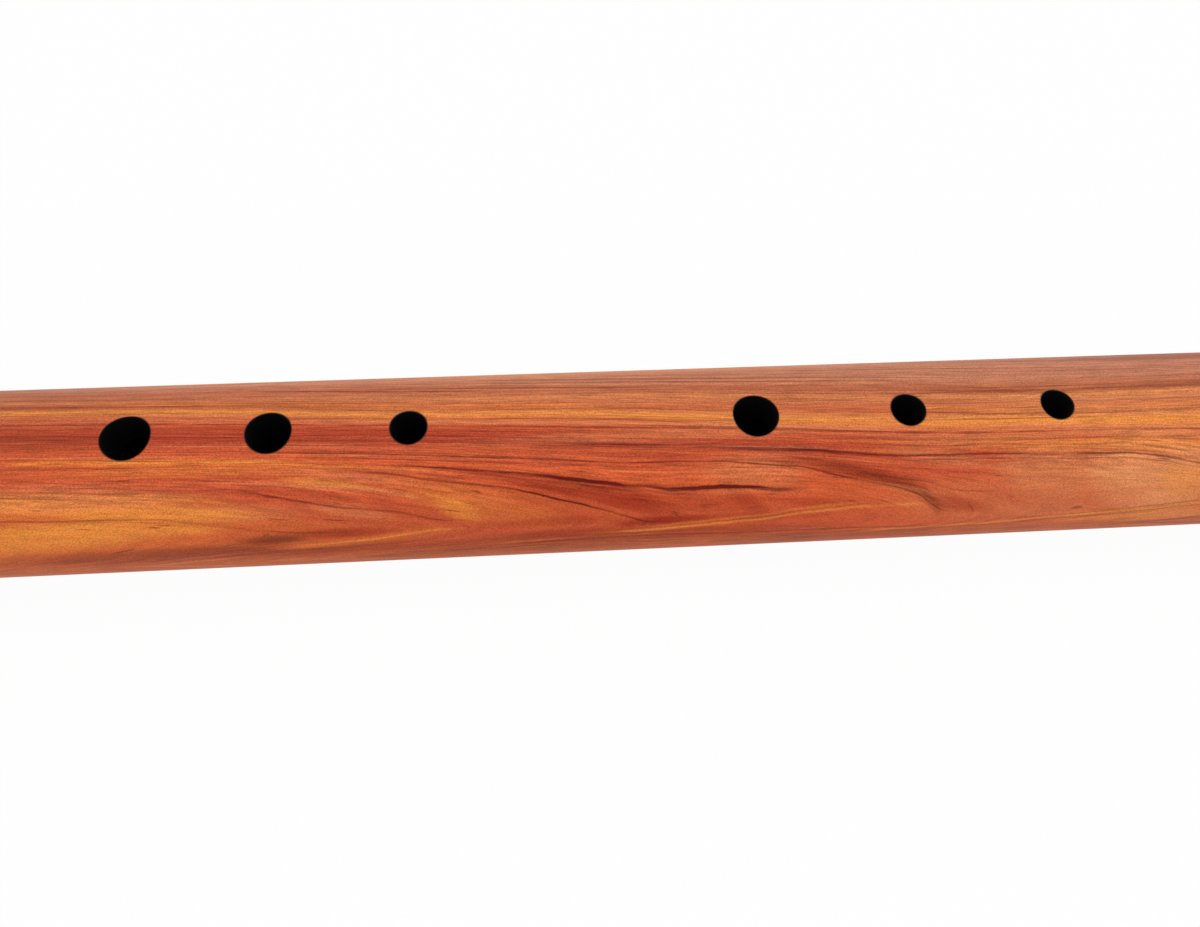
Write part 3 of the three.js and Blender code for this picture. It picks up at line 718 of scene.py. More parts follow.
def cedar_material(name, below=False, toned=False, strokes=False, tint=CEDAR_BROWN, tint_share=0.0):
    """Red cedar with its rings as sheets through the wood. The board below is the upper
    one's mirror image, as in a barrel glued up from one split board."""
    material, tree = new_material(name)
    x, y, z = object_place(tree)
    if below:
        z = z * -1
    seen = attribute(tree, "seen")
    wander = noise(tree, vector_of(tree, x * 0.012, y * 0.05, z * 0.05), detail=3.0) - 0.5
    ring = (
        z * RIDGE[0] + y * RIDGE[1] + x * RING_CLIMB
        + attribute(tree, "ring_bend") + wander * 5.0 * (1 - seen)
    )
    beside = z * -RIDGE[1] + y * RIDGE[0]

    def along_grain(length, ring_width, detail=2.0, roughness=0.5):
        place = vector_of(tree, x * (1 / length), ring * (1 / ring_width), beside * 0.08)
        return noise(tree, place, detail, roughness)

    streaky = along_grain(25, 0.5, detail=4.0, roughness=0.65) - 0.5
    elsewhere = (along_grain(160, 4.0, detail=3.0) - 0.5) * 22 + 2
    colour = ring_colour(tree, ring * seen + elsewhere * (1 - seen) + streaky * 2.2)
    colour = mixed(tree, colour, tint, tint_share)
    if toned:
        mottle = along_grain(20, 0.6, detail=3.0).ramp(0.3, 0.62, 0.82, 1.06)
        colour = with_tones(tree, colour, (1 + streaky * 0.9) * mottle)
    if strokes:
        colour = with_strokes(tree, colour, x, along_grain)

    # Fine lines show less where the rings lie nearly flat in the surface.
    steep = beside.math("ABSOLUTE").ramp(1.0, 9.0, 0.25, 1.0)
    rings = along_grain(70, 0.42, detail=3.0, roughness=0.6)
    colour = mixed(tree, colour, CEDAR_BROWN, rings.ramp(0.55, 0.66) * steep * 0.55)
    colour = mixed(tree, colour, CEDAR_PALE, rings.ramp(0.44, 0.3) * steep * 0.4)
    pores = noise(tree, vector_of(tree, x * 4.0, y * 7.0, z * 7.0), detail=1.0, roughness=0.7)
    streaks = along_grain(5.0, 0.14)
    shade = 1 + streaks.ramp(0.3, 0.7, 0.24, -0.22) * steep
    shade = pores.ramp(0.32, 0.68, 0.76, 1.26) * shade
    colour = mixed(tree, colour, vector_of(tree, shade, shade, shade), 1.0, "MULTIPLY")
    dashes = along_grain(5.0, 0.13, detail=1.0)
    colour = mixed(tree, colour, CEDAR_MAROON, dashes.ramp(0.68, 0.78) * 0.55)
    # Char on the holes' burnt walls and rims, and painted shade that blackens the bore under them
    charred_and_shaded = attribute(tree, "char_and_shade")
    colour = mixed(tree, colour, CHAR_AND_SHADE, charred_and_shaded)
    roughness = 0.44 + pores * 0.12 + charred_and_shaded * 0.2
    dress(tree, colour, roughness, CEDAR_GLOSS, pores + streaks * 0.5, CEDAR_RELIEF)
    return material


def with_tones(tree, colour, raggedness):
    """The colour with the soft patches that the photograph shows."""
    shares = split(attribute(tree, "tone", "Color"), "Color") + [attribute(tree, "tone", "Alpha")]
    for share, tint in zip(shares, TONE_PATCHES):
        colour = mixed(tree, colour, tint, (share * raggedness).math("MINIMUM", 1.0))
    return colour


def with_strokes(tree, colour, x, along_grain):
    """The colour with the lines that the photograph shows, drawn along their routes."""
    wobble = (along_grain(3.0, 0.4, detail=3.0, roughness=0.7) - 0.5) * 0.45
    breaks = along_grain(11, 0.67, detail=3.0).ramp(0.32, 0.55, 0.4, 1.0)

    @lru_cache(maxsize=None)
    def window(first, last):
        start, end = [surface_at((pixel, BARREL_ROW))[0] for pixel in (first, last)]
        rise = x.ramp(start - STROKE_FADE, start + STROKE_FADE)
        return rise * x.ramp(end + STROKE_FADE, end - STROKE_FADE)

    @lru_cache(maxsize=None)
    def distance_below(route):
        return attribute(tree, "below_" + route) + wobble

    for tint, strokes in STROKES.items():
        shares = []
        for route, offset, half_width, strength, first, last in strokes:
            near = ((distance_below(route) - offset) * (1 / half_width)).bell()
            shares.append(near * (window(first, last) * strength))
        total = reduce(lambda most, share: most.math("MAXIMUM", share), shares)
        colour = mixed(tree, colour, tint, total * breaks)
    return colour


# Meshes

class Skin:
    """Points and faces gathered block by block. Blocks meet at equal points."""

    def __init__(self):
        self.points = []
        self.faces = []

    def grid(self, rows, closed=False, skip=lambda i, j: False):
        """Quads between the rows of points, which may close on themselves."""
        start = len(self.points)
        width = len(rows[0])
        for row in rows:
            self.points.extend(row)
        for i, j in product(range(len(rows) - 1), range(width if closed else width - 1)):
            if not skip(i, j):
                first = start + i * width
                after = first + (j + 1) % width
                self.faces.append((first + j, after, after + width, first + width + j))

    def cap(self, points):
        """One face with points of its own."""
        self.faces.append(tuple(range(len(self.points), len(self.points) + len(points))))
        self.points.extend(points)


def with_ends(rings):
    """Skin round closed rings of points, with a face over the first and the last."""
    skin = Skin()
    skin.grid(rings, closed=True)
    count, around = len(skin.points), len(rings[0])
    skin.faces += [tuple(range(around)), tuple(range(count - around, count))]
    return skin


def edited(mesh, *changes):
    """The mesh after changes to its bmesh."""
    work = bmesh.new()
    work.from_mesh(mesh)
    for change in changes:
        change(work)
    bmesh.ops.recalc_face_normals(work, faces=work.faces)
    work.to_mesh(mesh)
    work.free()
    return mesh


def weld(work):
    bmesh.ops.remove_doubles(work, verts=work.verts, dist=WELD_REACH * MM)


def drop_slivers(work):
    bmesh.ops.dissolve_degenerate(work, dist=SLIVER * MM, edges=work.edges)


def skin_mesh(name, skin):
    mesh = bpy.data.meshes.new(name)
    mesh.from_pydata((np.array(skin.points) + AXIS_LIFT) * MM, [], skin.faces)
    return edited(mesh, weld)


def finished(node, ending, mesh, material, body):
    """The mesh as a new piece in place of a CAD node."""
    edited(mesh, weld, drop_slivers)
    mesh.shade_smooth()
    mesh.set_sharp_from_angle(angle=SMOOTH_ANGLE)
    mesh.materials.clear()
    mesh.materials.append(material)
    piece = linked(node + ending, mesh)
    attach(piece, body)
    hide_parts(node)
    return piece


def mesh_points(mesh):
    """The mesh's vertices in millimetres, heights from the axis."""
    points = np.zeros(len(mesh.vertices) * 3)
    mesh.vertices.foreach_get("co", points)
    return points.reshape(-1, 3) / MM - AXIS_LIFT


def add_attribute(mesh, name, values, kind="FLOAT", field="value"):
    data = mesh.attributes.new(name, kind, "POINT").data
    data.foreach_set(field, values.astype(np.float32).ravel())


def add_grain(mesh, below):
    """Writes the fields that the cedar material reads."""
    points = mesh_points(mesh)
    places = places_of(points * (1, 1, -1 if below else 1))
    add_attribute(mesh, "ring_bend", nearness(places, BEND_PLACES) @ BEND_WEIGHTS)
    add_attribute(mesh, "seen", seen_share(points))
    add_attribute(mesh, "tone", tones_at(points), "FLOAT_COLOR", "color")
    if not below:
        for name, route in GRAIN_ROUTES.items():
            add_attribute(mesh, "below_" + name, below_route(places, route))
    # Painted shade: the bore, in both halves, is blackened for a stretch under each finger hole so that
    # the holes look black inside. The burnt walls and rims are the wood's own char.
    in_bore = np.hypot(points[:, 1], points[:, 2]) < BORE_RADIUS + BORE_SHADE_DEPTH
    char_and_shade = np.zeros(len(points))
    for x, radius in FINGER_HOLES:
        along = points[:, 0] - x
        gap = np.hypot(along, points[:, 1]) - radius - CHAR_RIM
        rim = np.clip(1 - gap / CHAR_FADE, 0, 1) * (points[:, 2] > 0) * (not below)
        bore_shade = np.clip(2 - 2 * np.abs(along) / BORE_SHADE_REACH, 0, 1) * in_bore
        char_and_shade = np.maximum(char_and_shade, np.maximum(rim, bore_shade))
    add_attribute(mesh, "char_and_shade", char_and_shade)


def round_normals(mesh):
    """Gives faces that lie on the barrel or in the bore the normals of true cylinders."""
    points = mesh_points(mesh)
    reach = np.hypot(points[:, 1], points[:, 2])
    radial = points * (0, 1, 1) / np.maximum(reach, TINY)[:, None]
    normals = np.zeros(len(mesh.loops) * 3)
    mesh.corner_normals.foreach_get("vector", normals)
    normals = normals.reshape(-1, 3)
    for polygon in mesh.polygons:
        vertices = list(polygon.vertices)
        for radius, facing in ((BARREL_RADIUS, 1), (BORE_RADIUS, -1)):
            on_it = np.all(np.abs(reach[vertices] - radius) < ROUND_REACH)
            if on_it and abs(polygon.normal.x) < ACROSS_LIMIT:
                normals[list(polygon.loop_indices)] = radial[vertices] * facing
    mesh.normals_split_custom_set(normals)


def steps(count, end=1.0):
    """Places at even steps from 0 up to and with the end."""
    return np.linspace(0, end, count + 1)


def bezier(points, share):
    """The point at a share of the way along the curve that the points steer."""
    while len(points) > 1:
        points = [a + (b - a) * share for a, b in zip(points, points[1:])]
    return points[0]


def row_angles(radius):
    """Angles of the rows round a half, whose middle rows lie at even steps of Y."""
    middle = np.arcsin((steps(HOLE_PATCH_STEPS, 2) - 1) * HOLE_PATCH_HALF / radius)
    side = np.linspace(middle[-1], math.pi / 2, SIDE_ROWS + 1)[1:]
    return np.concatenate([-side[::-1], middle, side])


OUTER_ANGLES = row_angles(BARREL_RADIUS)
BORE_ANGLES = row_angles(BORE_RADIUS)
WALL_RADII = np.linspace(BARREL_RADIUS, BORE_RADIUS, 3)
PATCH_ROWS = range(SIDE_ROWS, SIDE_ROWS + HOLE_PATCH_STEPS)


def column_places():
    """Places of the columns along the barrel, and where each hole's patch starts."""
    seen_start = surface_at((0, PICTURE_HEIGHT / 2))[0] - SEEN_MARGIN
    seen_end = surface_at((PICTURE_WIDTH, PICTURE_HEIGHT / 2))[0] + SEEN_MARGIN
    places = spread(HEAD_END_X, seen_start, PLAIN_COLUMN_STEP)
    here = seen_start
    patches = []
    for x, radius in reversed(FINGER_HOLES):
        start, end = x - HOLE_PATCH_HALF, x + HOLE_PATCH_HALF
        places += spread(here, start, SEEN_COLUMN_STEP)
        patches.append((len(places), x, radius))
        places += spread(start, end, PATCH_STEP)
        here = end
    places += spread(here, seen_end, SEEN_COLUMN_STEP)
    places += spread(seen_end, FOOT_X - FOOT_ROUNDING, PLAIN_COLUMN_STEP)
    return [*places, FOOT_X - FOOT_ROUNDING], patches


def square_ring():
    """Points round the square patch, in steps that match the grid's, from its corner."""
    half = HOLE_PATCH_HALF
    corners = [(-half, -half), (half, -half), (half, half), (-half, half), (-half, -half)]
    return np.array(filled(corners, PATCH_STEP)[:-1])


def hole_rows(centre_x, radius):
    """Rings of points from the patch's edge over the rim and down the wall to the bore."""
    def on_surface(surface_radius, places):
        x, y = places.T
        return np.stack([centre_x + x, y, np.sqrt(surface_radius ** 2 - y ** 2)], 1)

    square = square_ring()
    circle = square / np.linalg.norm(square, axis=1)[:, None]
    wall = circle * (radius - RIM_INSIDE)
    rim = wall + circle * RIM_ROUNDING
    rows = [on_surface(BARREL_RADIUS, square + (rim - square) * share) for share in PATCH_SHARES]
    corner = on_surface(BARREL_RADIUS, wall)
    curve = [rows[-1], corner, corner - (0, 0, RIM_ROUNDING)]
    rows += [bezier(curve, share) for share in steps(RIM_STEPS)[1:]]
    drop = on_surface(BORE_RADIUS, wall) - rows[-1]
    rows += [rows[-1] + drop * share for share in WALL_SHARES]
    rows += [on_surface(BORE_RADIUS, wall + (square - wall) * share) for share in BORE_SHARES]
    return rows


def foot_profile():
    """(radius, place along X, share of the way from the outer to the bore's rows)."""
    outer = BARREL_RADIUS - FOOT_ROUNDING
    inner = BORE_RADIUS + FOOT_BORE_CHAMFER
    start = FOOT_X - FOOT_ROUNDING
    profile = [
        (outer + FOOT_ROUNDING * math.cos(angle), start + FOOT_ROUNDING * math.sin(angle), 0.0)
        for angle in steps(FOOT_STEPS, math.pi / 2)
    ]
    profile += [(outer + (inner - outer) * share, FOOT_X, share) for share in FOOT_SHARES]
    return profile + [(BORE_RADIUS, FOOT_X - FOOT_BORE_CHAMFER, 1.0), (BORE_RADIUS, start, 1.0)]


def half_tube(columns, turn, patched=()):
    """Skin of half the barrel's tube, open at both ends and in the patched columns' middle."""
    skin = Skin()
    for radius, angles in ((BARREL_RADIUS, OUTER_ANGLES), (BORE_RADIUS, BORE_ANGLES)):
        rows = [at_angle(radius, x, angles + turn) for x in columns]
        skin.grid(rows, skip=lambda i, j: i in patched and j in PATCH_ROWS)
    for side in (-1, 1):
        skin.grid([at_angle(WALL_RADII, x, side * math.pi / 2 + turn) for x in columns])
    return skin


def half_body(below):
    """Skin of one half from the head's end to the foot, open towards the head."""
    turn = math.pi if below else 0.0
    columns, patches = column_places()
    if below:
        patches = []
    patched = {start + step for start, _, _ in patches for step in range(HOLE_PATCH_STEPS)}
    skin = half_tube(columns, turn, patched)
    for _, x, radius in patches:
        skin.grid(hole_rows(x, radius), closed=True)
    profile = foot_profile()
    skin.grid([
        at_angle(radius, x, OUTER_ANGLES + (BORE_ANGLES - OUTER_ANGLES) * share + turn)
        for radius, x, share in profile
    ])
    profile.append((WALL_RADII[1], FOOT_X - FOOT_ROUNDING, 1.0))
    for side in (-1, 1):
        skin.cap([at_angle(radius, x, side * math.pi / 2 + turn) for radius, x, _ in profile])
    return skin


def half_head(below):
    """Skin of one half from the mouthpiece's shoulder to the head's end, closed."""
    turn = math.pi if below else 0.0
    skin = half_tube([*spread(SHOULDER_X, HEAD_END_X, PLAIN_COLUMN_STEP), HEAD_END_X], turn)
    for x in (SHOULDER_X, HEAD_END_X):
        outer = at_angle(BARREL_RADIUS, x, OUTER_ANGLES + turn)
        inner = at_angle(BORE_RADIUS, x, BORE_ANGLES + turn)
        last, first = [at_angle(WALL_RADII[1], x, side * math.pi / 2 + turn) for side in (1, -1)]
        skin.cap([*outer, last, *inner[::-1], first])
    return skin


def across(outline, width):
    """Skin of an XZ outline extruded across Y, centred on the axis."""
    return with_ends([[(x, y, z) for x, z in outline] for y in (-width / 2, width / 2)])


def nest_outline():
    sweep = math.acos((NEST_HEIGHT + NEST_END_RADIUS - CUT_TOP) / NEST_END_RADIUS)
    end = [
        (NEST_END_RADIUS * math.sin(angle), NEST_HEIGHT + NEST_END_RADIUS * (1 - math.cos(angle)))
        for angle in steps(NEST_END_STEPS, sweep)
    ]
    return [(NEST_FRONT_X + x, z) for x, z in end] + [(NEST_BACK_X - x, z) for x, z in end[::-1]]


def sound_hole_outline():
    edge_z = NEST_HEIGHT - SPLITTING_EDGE_DROP
    undercut = (edge_z - CUT_FLOOR) / math.tan(SPLITTING_UNDERCUT_ANGLE)
    bevel_x = EDGE_X + SPLITTING_BEVEL_LENGTH
    return [
        (FLUE_EXIT_X, CUT_TOP), (FLUE_EXIT_X, CUT_FLOOR), (EDGE_X + undercut, CUT_FLOOR),
        (EDGE_X, edge_z), (bevel_x, NEST_HEIGHT), (bevel_x, CUT_TOP),
    ]


def exit_hole_outline():
    slope_x = EXIT_HOLE_FRONT_X - EXIT_HOLE_SLOPE_LENGTH
    return [
        (EXIT_HOLE_BACK_X, CUT_TOP), (EXIT_HOLE_BACK_X, CUT_FLOOR), (slope_x, CUT_FLOOR),
        (slope_x, BORE_RADIUS), (EXIT_HOLE_FRONT_X, NEST_HEIGHT), (EXIT_HOLE_FRONT_X, CUT_TOP),
    ]


def cut(mesh, cutters):
    """The mesh with each closed skin cut away."""
    body = linked("cut_body", mesh)
    tools = [linked("cut_tool", skin_mesh("cut_tool", skin)) for skin in cutters]
    for tool in tools:
        modifier = body.modifiers.new("cut", "BOOLEAN")
        modifier.operation = "DIFFERENCE"
        modifier.solver = "EXACT"
        modifier.object = tool
    depsgraph = bpy.context.evaluated_depsgraph_get()
    result = bpy.data.meshes.new_from_object(body.evaluated_get(depsgraph))
    for item in (body, *tools):
        bpy.data.objects.remove(item)
    return result


def add_barrel_half(name, below, material):
    head = skin_mesh(name, half_head(below))
    if not below:
        head = cut(head, [
            across(nest_outline(), 3 * BARREL_RADIUS),
            across(sound_hole_outline(), FLUE_WIDTH),
            across(exit_hole_outline(), FLUE_WIDTH),
        ])
    body = skin_mesh(name, half_body(below))

    def open_end(work):
        ends = [
            face for face in work.faces
            if all(abs(corner.co.x / MM - HEAD_END_X) < END_REACH for corner in face.verts)
        ]
        bmesh.ops.delete(work, geom=ends, context="FACES")

    mesh = edited(head, open_end, lambda work: work.from_mesh(body))
    piece = finished(name, "_wood", mesh, material, "barrel")
    round_normals(piece.data)
    add_grain(piece.data, below)


# Mouthpiece, block and what ties it down

def mouthpiece_profile():
    """(radius, place along X) round the turning."""
    rounding = LIP_WIDTH - LIP_FLAT_WIDTH
    tip = np.array([BREATH_HOLE_RADIUS + LIP_WIDTH, MOUTH_X + rounding])
    rim = np.array([BARREL_RADIUS, SHOULDER_X - MOUTHPIECE_RIM_LENGTH])
    middle_x = (tip[1] + rim[1]) / 2
    tenon_radius = BORE_RADIUS - GLUE_GAP
    tenon_x = SHOULDER_X + TENON_LENGTH
    profile = [
        (BREATH_HOLE_RADIUS, tenon_x - BREATH_CUP_LENGTH),
        (BREATH_HOLE_RADIUS, MOUTH_X + LIP_FLAT_WIDTH),
        (BREATH_HOLE_RADIUS + LIP_FLAT_WIDTH / 2, MOUTH_X),
    ]
    for angle in steps(LIP_STEPS, math.pi / 2)[:-1]:
        profile.append(tip - rounding * np.array([1 - math.sin(angle), math.cos(angle)]))
    curve = [tip, np.array([tip[0], middle_x]), np.array([rim[0], middle_x]), rim]
    return [
        *profile, *[bezier(curve, share) for share in steps(MOUTHPIECE_STEPS)],
        (BARREL_RADIUS, SHOULDER_X), (tenon_radius, SHOULDER_X), (tenon_radius, tenon_x),
        (tenon_radius - TENON_WALL, tenon_x),
    ]


def add_mouthpiece(material):
    angles = steps(MOUTHPIECE_SIDES, 2 * math.pi)[:-1]
    profile = mouthpiece_profile()
    skin = Skin()
    skin.grid([at_angle(radius, x, angles) for radius, x in [*profile, profile[0]]], closed=True)
    mesh = skin_mesh("mouthpiece", skin)
    finished("mouthpiece", "_wood", mesh, material, "barrel")


def along_rows(rows, share):
    """A smooth curve through the rows of shares, at a share of the way along them."""
    place = (len(rows) - 1) * share
    first = min(int(place), len(rows) - 2)
    part = place - first
    before, start, end, after = [
        np.array(rows[min(max(first + step, 0), len(rows) - 1)]) for step in (-1, 0, 1, 2)
    ]
    leave = (end - before) / 2
    arrive = (after - start) / 2
    return bezier([start, start + leave / 3, end - arrive / 3, end], part)


def block_ring(x, half_width, height, arch):
    """One section of the block: an arch on straight sides, down to the seat."""
    seat = BLOCK_SEAT_Z
    straight = seat + height - arch
    ring = [
        (half_width * math.cos(angle), straight + arch * math.sin(angle))
        for angle in steps(ARCH_STEPS, math.pi)
    ]
    corners = [ring[-1], (-half_width, seat), (half_width, seat), ring[0]]
    for start, end, count in zip(corners, corners[1:], (SIDE_STEPS, SEAT_STEPS, SIDE_STEPS)):
        ring.extend(np.linspace(start, end, count + 1)[1:])
    return [(x, y, z) for y, z in ring[:-1]]


def block_rings():
    rings = []
    for start, length, rows, base, rise in (
        (BLOCK_BACK_X, BLOCK_TAIL_LENGTH, TAIL_SHARES, 0, BLOCK_SADDLE_HEIGHT),
        (SADDLE_FRONT_X, BLOCK_FRONT_LENGTH, FRONT_SHARES, BLOCK_SADDLE_HEIGHT, BLOCK_CREST_RISE),
    ):
        for share in steps(BLOCK_STEPS):
            place, width, height, arch = along_rows(rows, share)
            width = min(width, 1) * BLOCK_HALF_WIDTH
            rings.append(block_ring(start + place * length, width, base + rise * height, arch * width))
    return rings


def chimney_outline():
    back = FLUE_EXIT_X - CHIMNEY_SETBACK
    front = BLOCK_FRONT_X + CUT_OVERRUN
    low = BLOCK_SEAT_Z - CUT_OVERRUN
    top = BLOCK_SEAT_Z + BLOCK_SADDLE_HEIGHT + BLOCK_CREST_RISE + CUT_OVERRUN
    lean = (top - low) * math.tan(CHIMNEY_LEAN)
    return [(back, low), (front, low), (front, top), (back - lean, top)]


def add_block(material):
    body = skin_mesh("block", with_ends(block_rings()))
    body = cut(body, [across(chimney_outline(), FLUE_WIDTH)])
    piece = finished("block", "_wood", body, material, "block")
    bevel = piece.modifiers.new("rounding", "BEVEL")
    bevel.width = BLOCK_EDGE_ROUNDING * MM
    bevel.segments = 3
    bevel.limit_method = "ANGLE"
    bevel.angle_limit = BLOCK_EDGE_ANGLE
    bevel.harden_normals = True


def smooth(share, first=0.0, last=1.0):
    """Smooth step from 0 at first to 1 at last."""
    clipped = min(max((share - first) / (last - first), 0), 1)
    return clipped * clipped * (3 - 2 * clipped)


def belt_point(angle, on_top, layers, x):
    """Middle of the lace and its outward direction, on the saddle or on the barrel."""
    lift = LACE_GAP + LACE_THICKNESS / 2 + layers * (LACE_THICKNESS + LACE_LAYER_GAP)
    radius = (BLOCK_HALF_WIDTH if on_top else BARREL_RADIUS) + lift
    outward = Vector((0, math.sin(angle), math.cos(angle)))
    return Vector((x, 0, SADDLE_CENTRE_Z if on_top else 0)) + outward * radius, outward


def turn_angles():
    """One turn from the top round to the top, as angles and whether on the saddle."""
    top = steps(SADDLE_STEPS, TOP_HALF_ANGLE)
    bottom = TOP_HALF_ANGLE + steps(BELT_STEPS, 2 * (math.pi - TOP_HALF_ANGLE))
    return (
        [(angle, True) for angle in top]
        + [(angle, False) for angle in bottom]
        + [(2 * math.pi - angle, True) for angle in top[:0:-1]]
    )


def lead_stations():
    """From inside the knot out over the other turns, and down beside the outermost one."""
    outermost = -(LACE_TURNS / 2 - TOP_HALF_ANGLE / (2 * math.pi)) * LACE_PITCH
    radius = BLOCK_HALF_WIDTH + LACE_GAP + LACE_THICKNESS * 1.5 + LACE_LAYER_GAP
    leave_angle = math.asin(KNOT_HALF_WIDTH / radius)
    upper, _ = belt_point(TOP_HALF_ANGLE, True, 1, LACE_X)
    landed, _ = belt_point(TOP_HALF_ANGLE, False, 1, LACE_X)
    arc = radius * (TOP_HALF_ANGLE - leave_angle)
    straight = (landed - upper).length
    edge, outward = belt_point(leave_angle, True, 1, LACE_X)
    stations = []
    for share in steps(LEAD_START_STEPS)[:-1]:
        y = KNOT_HALF_WIDTH * (LEAD_START_SHARE + (1 - LEAD_START_SHARE) * share)
        height = KNOT_MIDDLE_Z + (edge.z - KNOT_MIDDLE_Z) * smooth(share)
        stations.append((Vector((LACE_X, y, height)), Vector((0, 0, 1)).lerp(outward, share)))
    for share in steps(LEAD_STEPS):
        along = share * (arc + straight)
        x = LACE_X + outermost * smooth(share, *LEAD_CROSSING_SHARES)
        if along <= arc:
            stations.append(belt_point(leave_angle + along / radius, True, 1, x))
        else:
            layer = 1 - smooth(share, *LEAD_DROP_SHARES)
            high, outward = belt_point(TOP_HALF_ANGLE, True, layer, x)
            low, _ = belt_point(TOP_HALF_ANGLE, False, layer, x)
            stations.append((high.lerp(low, (along - arc) / straight), outward))
    return stations


def half_turned(stations):
    """The stations turned half round the upright through the lace's middle, last one first."""
    return [
        (Vector((2 * LACE_X - place.x, -place.y, place.z)), Vector((-out.x, -out.y, out.z)))
        for place, out in reversed(stations)
    ]


def lace_stations():
    lead = lead_stations()
    wound = []
    for turn, (angle, on_top) in product(range(LACE_TURNS), turn_angles()):
        in_first = turn == 0 and on_top and angle < math.pi
        in_last = turn == LACE_TURNS - 1 and on_top and angle > math.pi
        if not in_first and not in_last:
            turns = turn + angle / (2 * math.pi) - LACE_TURNS / 2
            wound.append(belt_point(angle, on_top, 0, LACE_X + turns * LACE_PITCH))
    return lead + wound + half_turned(lead)


def strip_section(width, thickness):
    """Points of a flat strip's section with round corners, as (side, up)."""
    corner = min(LACE_CORNER, thickness / 2 - LACE_HALF_FLAT)
    section = []
    for quarter, (side, up) in enumerate(((1, 1), (-1, 1), (-1, -1), (1, -1))):
        for angle in (quarter + steps(CORNER_STEPS)) * math.pi / 2:
            section.append((
                side * (width / 2 - corner) + corner * math.cos(angle),
                up * (thickness / 2 - corner) + corner * math.sin(angle),
            ))
    return section


def strip(stations, sizes):
    """Skin of a strip through (middle, outward) stations, with (width, thickness) each."""
    rings = []
    for place, ((middle, outward), size) in enumerate(zip(stations, sizes)):
        before = stations[max(place - 1, 0)][0]
        after = stations[min(place + 1, len(stations) - 1)][0]
        along = (after - before).normalized()
        side = outward.cross(along).normalized()
        up = along.cross(side).normalized()
        sway = sum(reach * math.sin(place * pace + start) for reach, pace, start in LACE_SWAYS)
        rings.append([middle + side * (s + sway) + up * u for s, u in strip_section(*size)])
    return with_ends(rings)


def add_strip(node, stations, sizes, material):
    """A strip of lace, marked along the edges of its top and bottom, where it wears."""
    mesh = skin_mesh(node, strip(stations, sizes))
    piece = finished(node, "_lace", mesh, material, "block")
    add_attribute(piece.data, "rim", np.tile([1, 0.3, 0.3, 1] * 4, len(stations)))


def add_lace(material):
    stations = lace_stations()
    add_strip("block_tie", stations, [(LACE_WIDTH, LACE_THICKNESS)] * len(stations), material)


def add_knot(material):
    """The lace's end wound round its own leads, leaving as a tail at either side."""
    reach_x = KNOT_HALF_WIDTH - KNOT_STRIP_THICKNESS / 2
    reach_z = KNOT_HIGH_Z - KNOT_MIDDLE_Z - KNOT_STRIP_THICKNESS / 2
    wound = []
    for share in steps(KNOT_STEPS * KNOT_TURNS):
        angle = share * 2 * math.pi * KNOT_TURNS
        x, z = math.sin(angle), math.cos(angle)
        y = KNOT_HALF_SPAN * (2 * share - 1)
        place = Vector((LACE_X + reach_x * x, y, KNOT_MIDDLE_Z + reach_z * z))
        wound.append((place, Vector((x / reach_x, 0, z / reach_z)).normalized()))
    tail = []
    tail_sizes = []
    for share in steps(TAIL_STEPS)[1:]:
        along = share * TAIL_LENGTH
        curl = smooth(share, TAIL_CURL_SHARE)
        fall = (reach_z + TAIL_FALL) * smooth(share, 0, TAIL_FALLEN_SHARE)
        opened = smooth(share, 0, TAIL_OPEN_SHARE)
        y = KNOT_HALF_SPAN + along * math.tan(TAIL_SPLAY) * opened
        place = Vector((LACE_X + along, y, KNOT_MIDDLE_Z + reach_z - fall + TAIL_CURL * curl))
        slope = 0.5 * math.sin(math.pi * min(share / TAIL_FALLEN_SHARE, 1)) - 0.25 * curl
        tail.append((place, Vector((slope, 0.05, 1)).normalized()))
        width = KNOT_STRIP_WIDTH + (LACE_WIDTH - KNOT_STRIP_WIDTH) * opened
        tail_sizes.append((width, KNOT_STRIP_THICKNESS))
    sizes = [(KNOT_STRIP_WIDTH, KNOT_STRIP_THICKNESS)] * len(wound)
    stations = half_turned(tail) + wound + tail
    add_strip("tie_knot", stations, tail_sizes[::-1] + sizes + tail_sizes, material)


def leather_material():
    """Oiled hide: a fine nap, soft clouds, and paler worn rims along the lace's edges."""
    material, tree = new_material("hide_lace")
    place = object_place(tree)

    def mottle(scale, detail, roughness=0.5):
        return noise(tree, vector_of(tree, *[axis * scale for axis in place]), detail, roughness)

    nap = mottle(7, 3.0, 0.7)
    creases = mottle(1.6, 4.0, 0.6)
    colour = mixed(tree, HIDE, HIDE_WORN, mottle(0.2, 2.0).ramp(0.38, 0.66) * 0.5)
    colour = mixed(tree, colour, HIDE_DARK, nap.ramp(0.6, 0.3) * 0.55)
    colour = mixed(tree, colour, HIDE_DARK, creases.ramp(0.42, 0.3) * 0.5)
    worn = attribute(tree, "rim") * nap.ramp(0.35, 0.6) * 0.8
    colour = mixed(tree, colour, HIDE_WORN, worn)
    dress(tree, colour, 0.66 + nap * 0.14, HIDE_GLOSS, nap * 0.5 + creases, HIDE_RELIEF)
    return material


# Light, floor and backdrop

def add_light(name, place, size, power):
    light = linked(name, bpy.data.lights.new(name, "AREA"))
    light.data.shape = "RECTANGLE"
    light.data.size, light.data.size_y = size
    light.data.energy = power
    light.location = place
    light.rotation_euler = (LIGHT_TARGET - Vector(place)).to_track_quat("-Z", "Y").to_euler()
    light.visible_camera = False


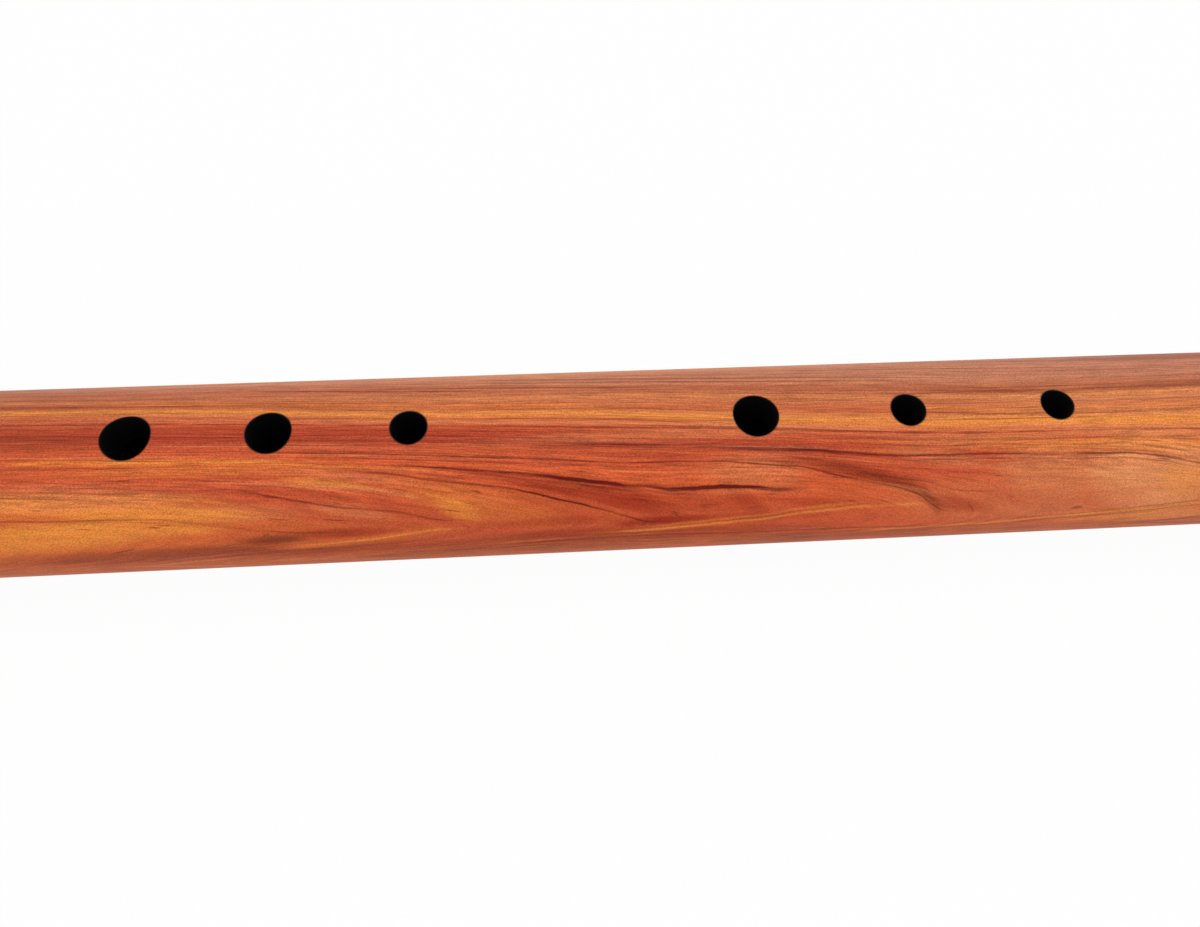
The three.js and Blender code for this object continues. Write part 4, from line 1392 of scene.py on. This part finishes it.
def seen_directly(tree, glossy_share=1.0):
    """1 for rays from the camera or through a clear surface, and a share of 1 from gloss."""
    names = ("Is Camera Ray", "Is Glossy Ray", "Is Transmission Ray")
    path = tree.nodes.new("ShaderNodeLightPath")
    camera, glossy, clear = [Value(tree, path.outputs[name]) for name in names]
    return camera.math("MAXIMUM", glossy * glossy_share).math("MAXIMUM", clear)


def add_world():
    world = bpy.data.worlds.new("studio")
    bpy.context.scene.world = world
    world.use_nodes = True
    tree = world.node_tree
    background = tree.nodes["Background"]
    background.inputs["Color"].default_value = WHITE
    level = seen_directly(tree) * (1 - WORLD_LEVEL) + WORLD_LEVEL
    feed(tree, level, background.inputs["Strength"])


def add_floor():
    """White paper that glows to the camera and keeps the flute's shadow."""
    corners = np.array([(-1, -1, 0), (1, -1, 0), (1, 1, 0), (-1, 1, 0)]) * FLOOR_REACH
    mesh = bpy.data.meshes.new("floor")
    mesh.from_pydata(corners, [], [(0, 1, 2, 3)])
    material, tree = new_material("white_paper")
    dress(tree, PAPER, PAPER_ROUGHNESS, PAPER_GLOSS)
    shader = Value(tree, tree.nodes["Principled BSDF"].outputs[0])
    glow = made(tree, "Emission", {"Color": WHITE, "Strength": 1.0})
    share = seen_directly(tree, glossy_share=0.5) * FLOOR_GLOW_SHARE
    surface = made(tree, "MixShader", {0: share, 1: shader, 2: glow})
    feed(tree, surface, tree.nodes["Material Output"].inputs["Surface"])
    mesh.materials.append(material)
    floor = linked("floor", mesh)


add_camera()
add_world()
add_light("key", place=(0.1, -0.2, 1.5), size=(1.6, 1.2), power=6.9)
add_light("fill", place=(0.1, 0.9, 0.9), size=(1.6, 0.8), power=1.6)
add_floor()

upper_cedar = cedar_material("cedar_upper", toned=True, strokes=True)
lower_cedar = cedar_material("cedar_lower", toned=True, below=True)
add_barrel_half("barrel_upper_half", False, upper_cedar)
add_barrel_half("barrel_lower_half", True, lower_cedar)
add_mouthpiece(cedar_material("cedar_turned"))
add_block(cedar_material("cedar_block", tint=CEDAR_BROWN, tint_share=0.4))
leather = leather_material()
add_lace(leather)
add_knot(leather)
pale_cedar = cedar_material("cedar_sapwood", tint=CEDAR_PALE, tint_share=0.6)
for name in ("chamber_plug", "spacer_plate"):
    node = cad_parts[name]
    node.data.materials.clear()
    node.data.materials.append(pale_cedar)

bpy.context.scene.view_settings.view_transform = "Standard"
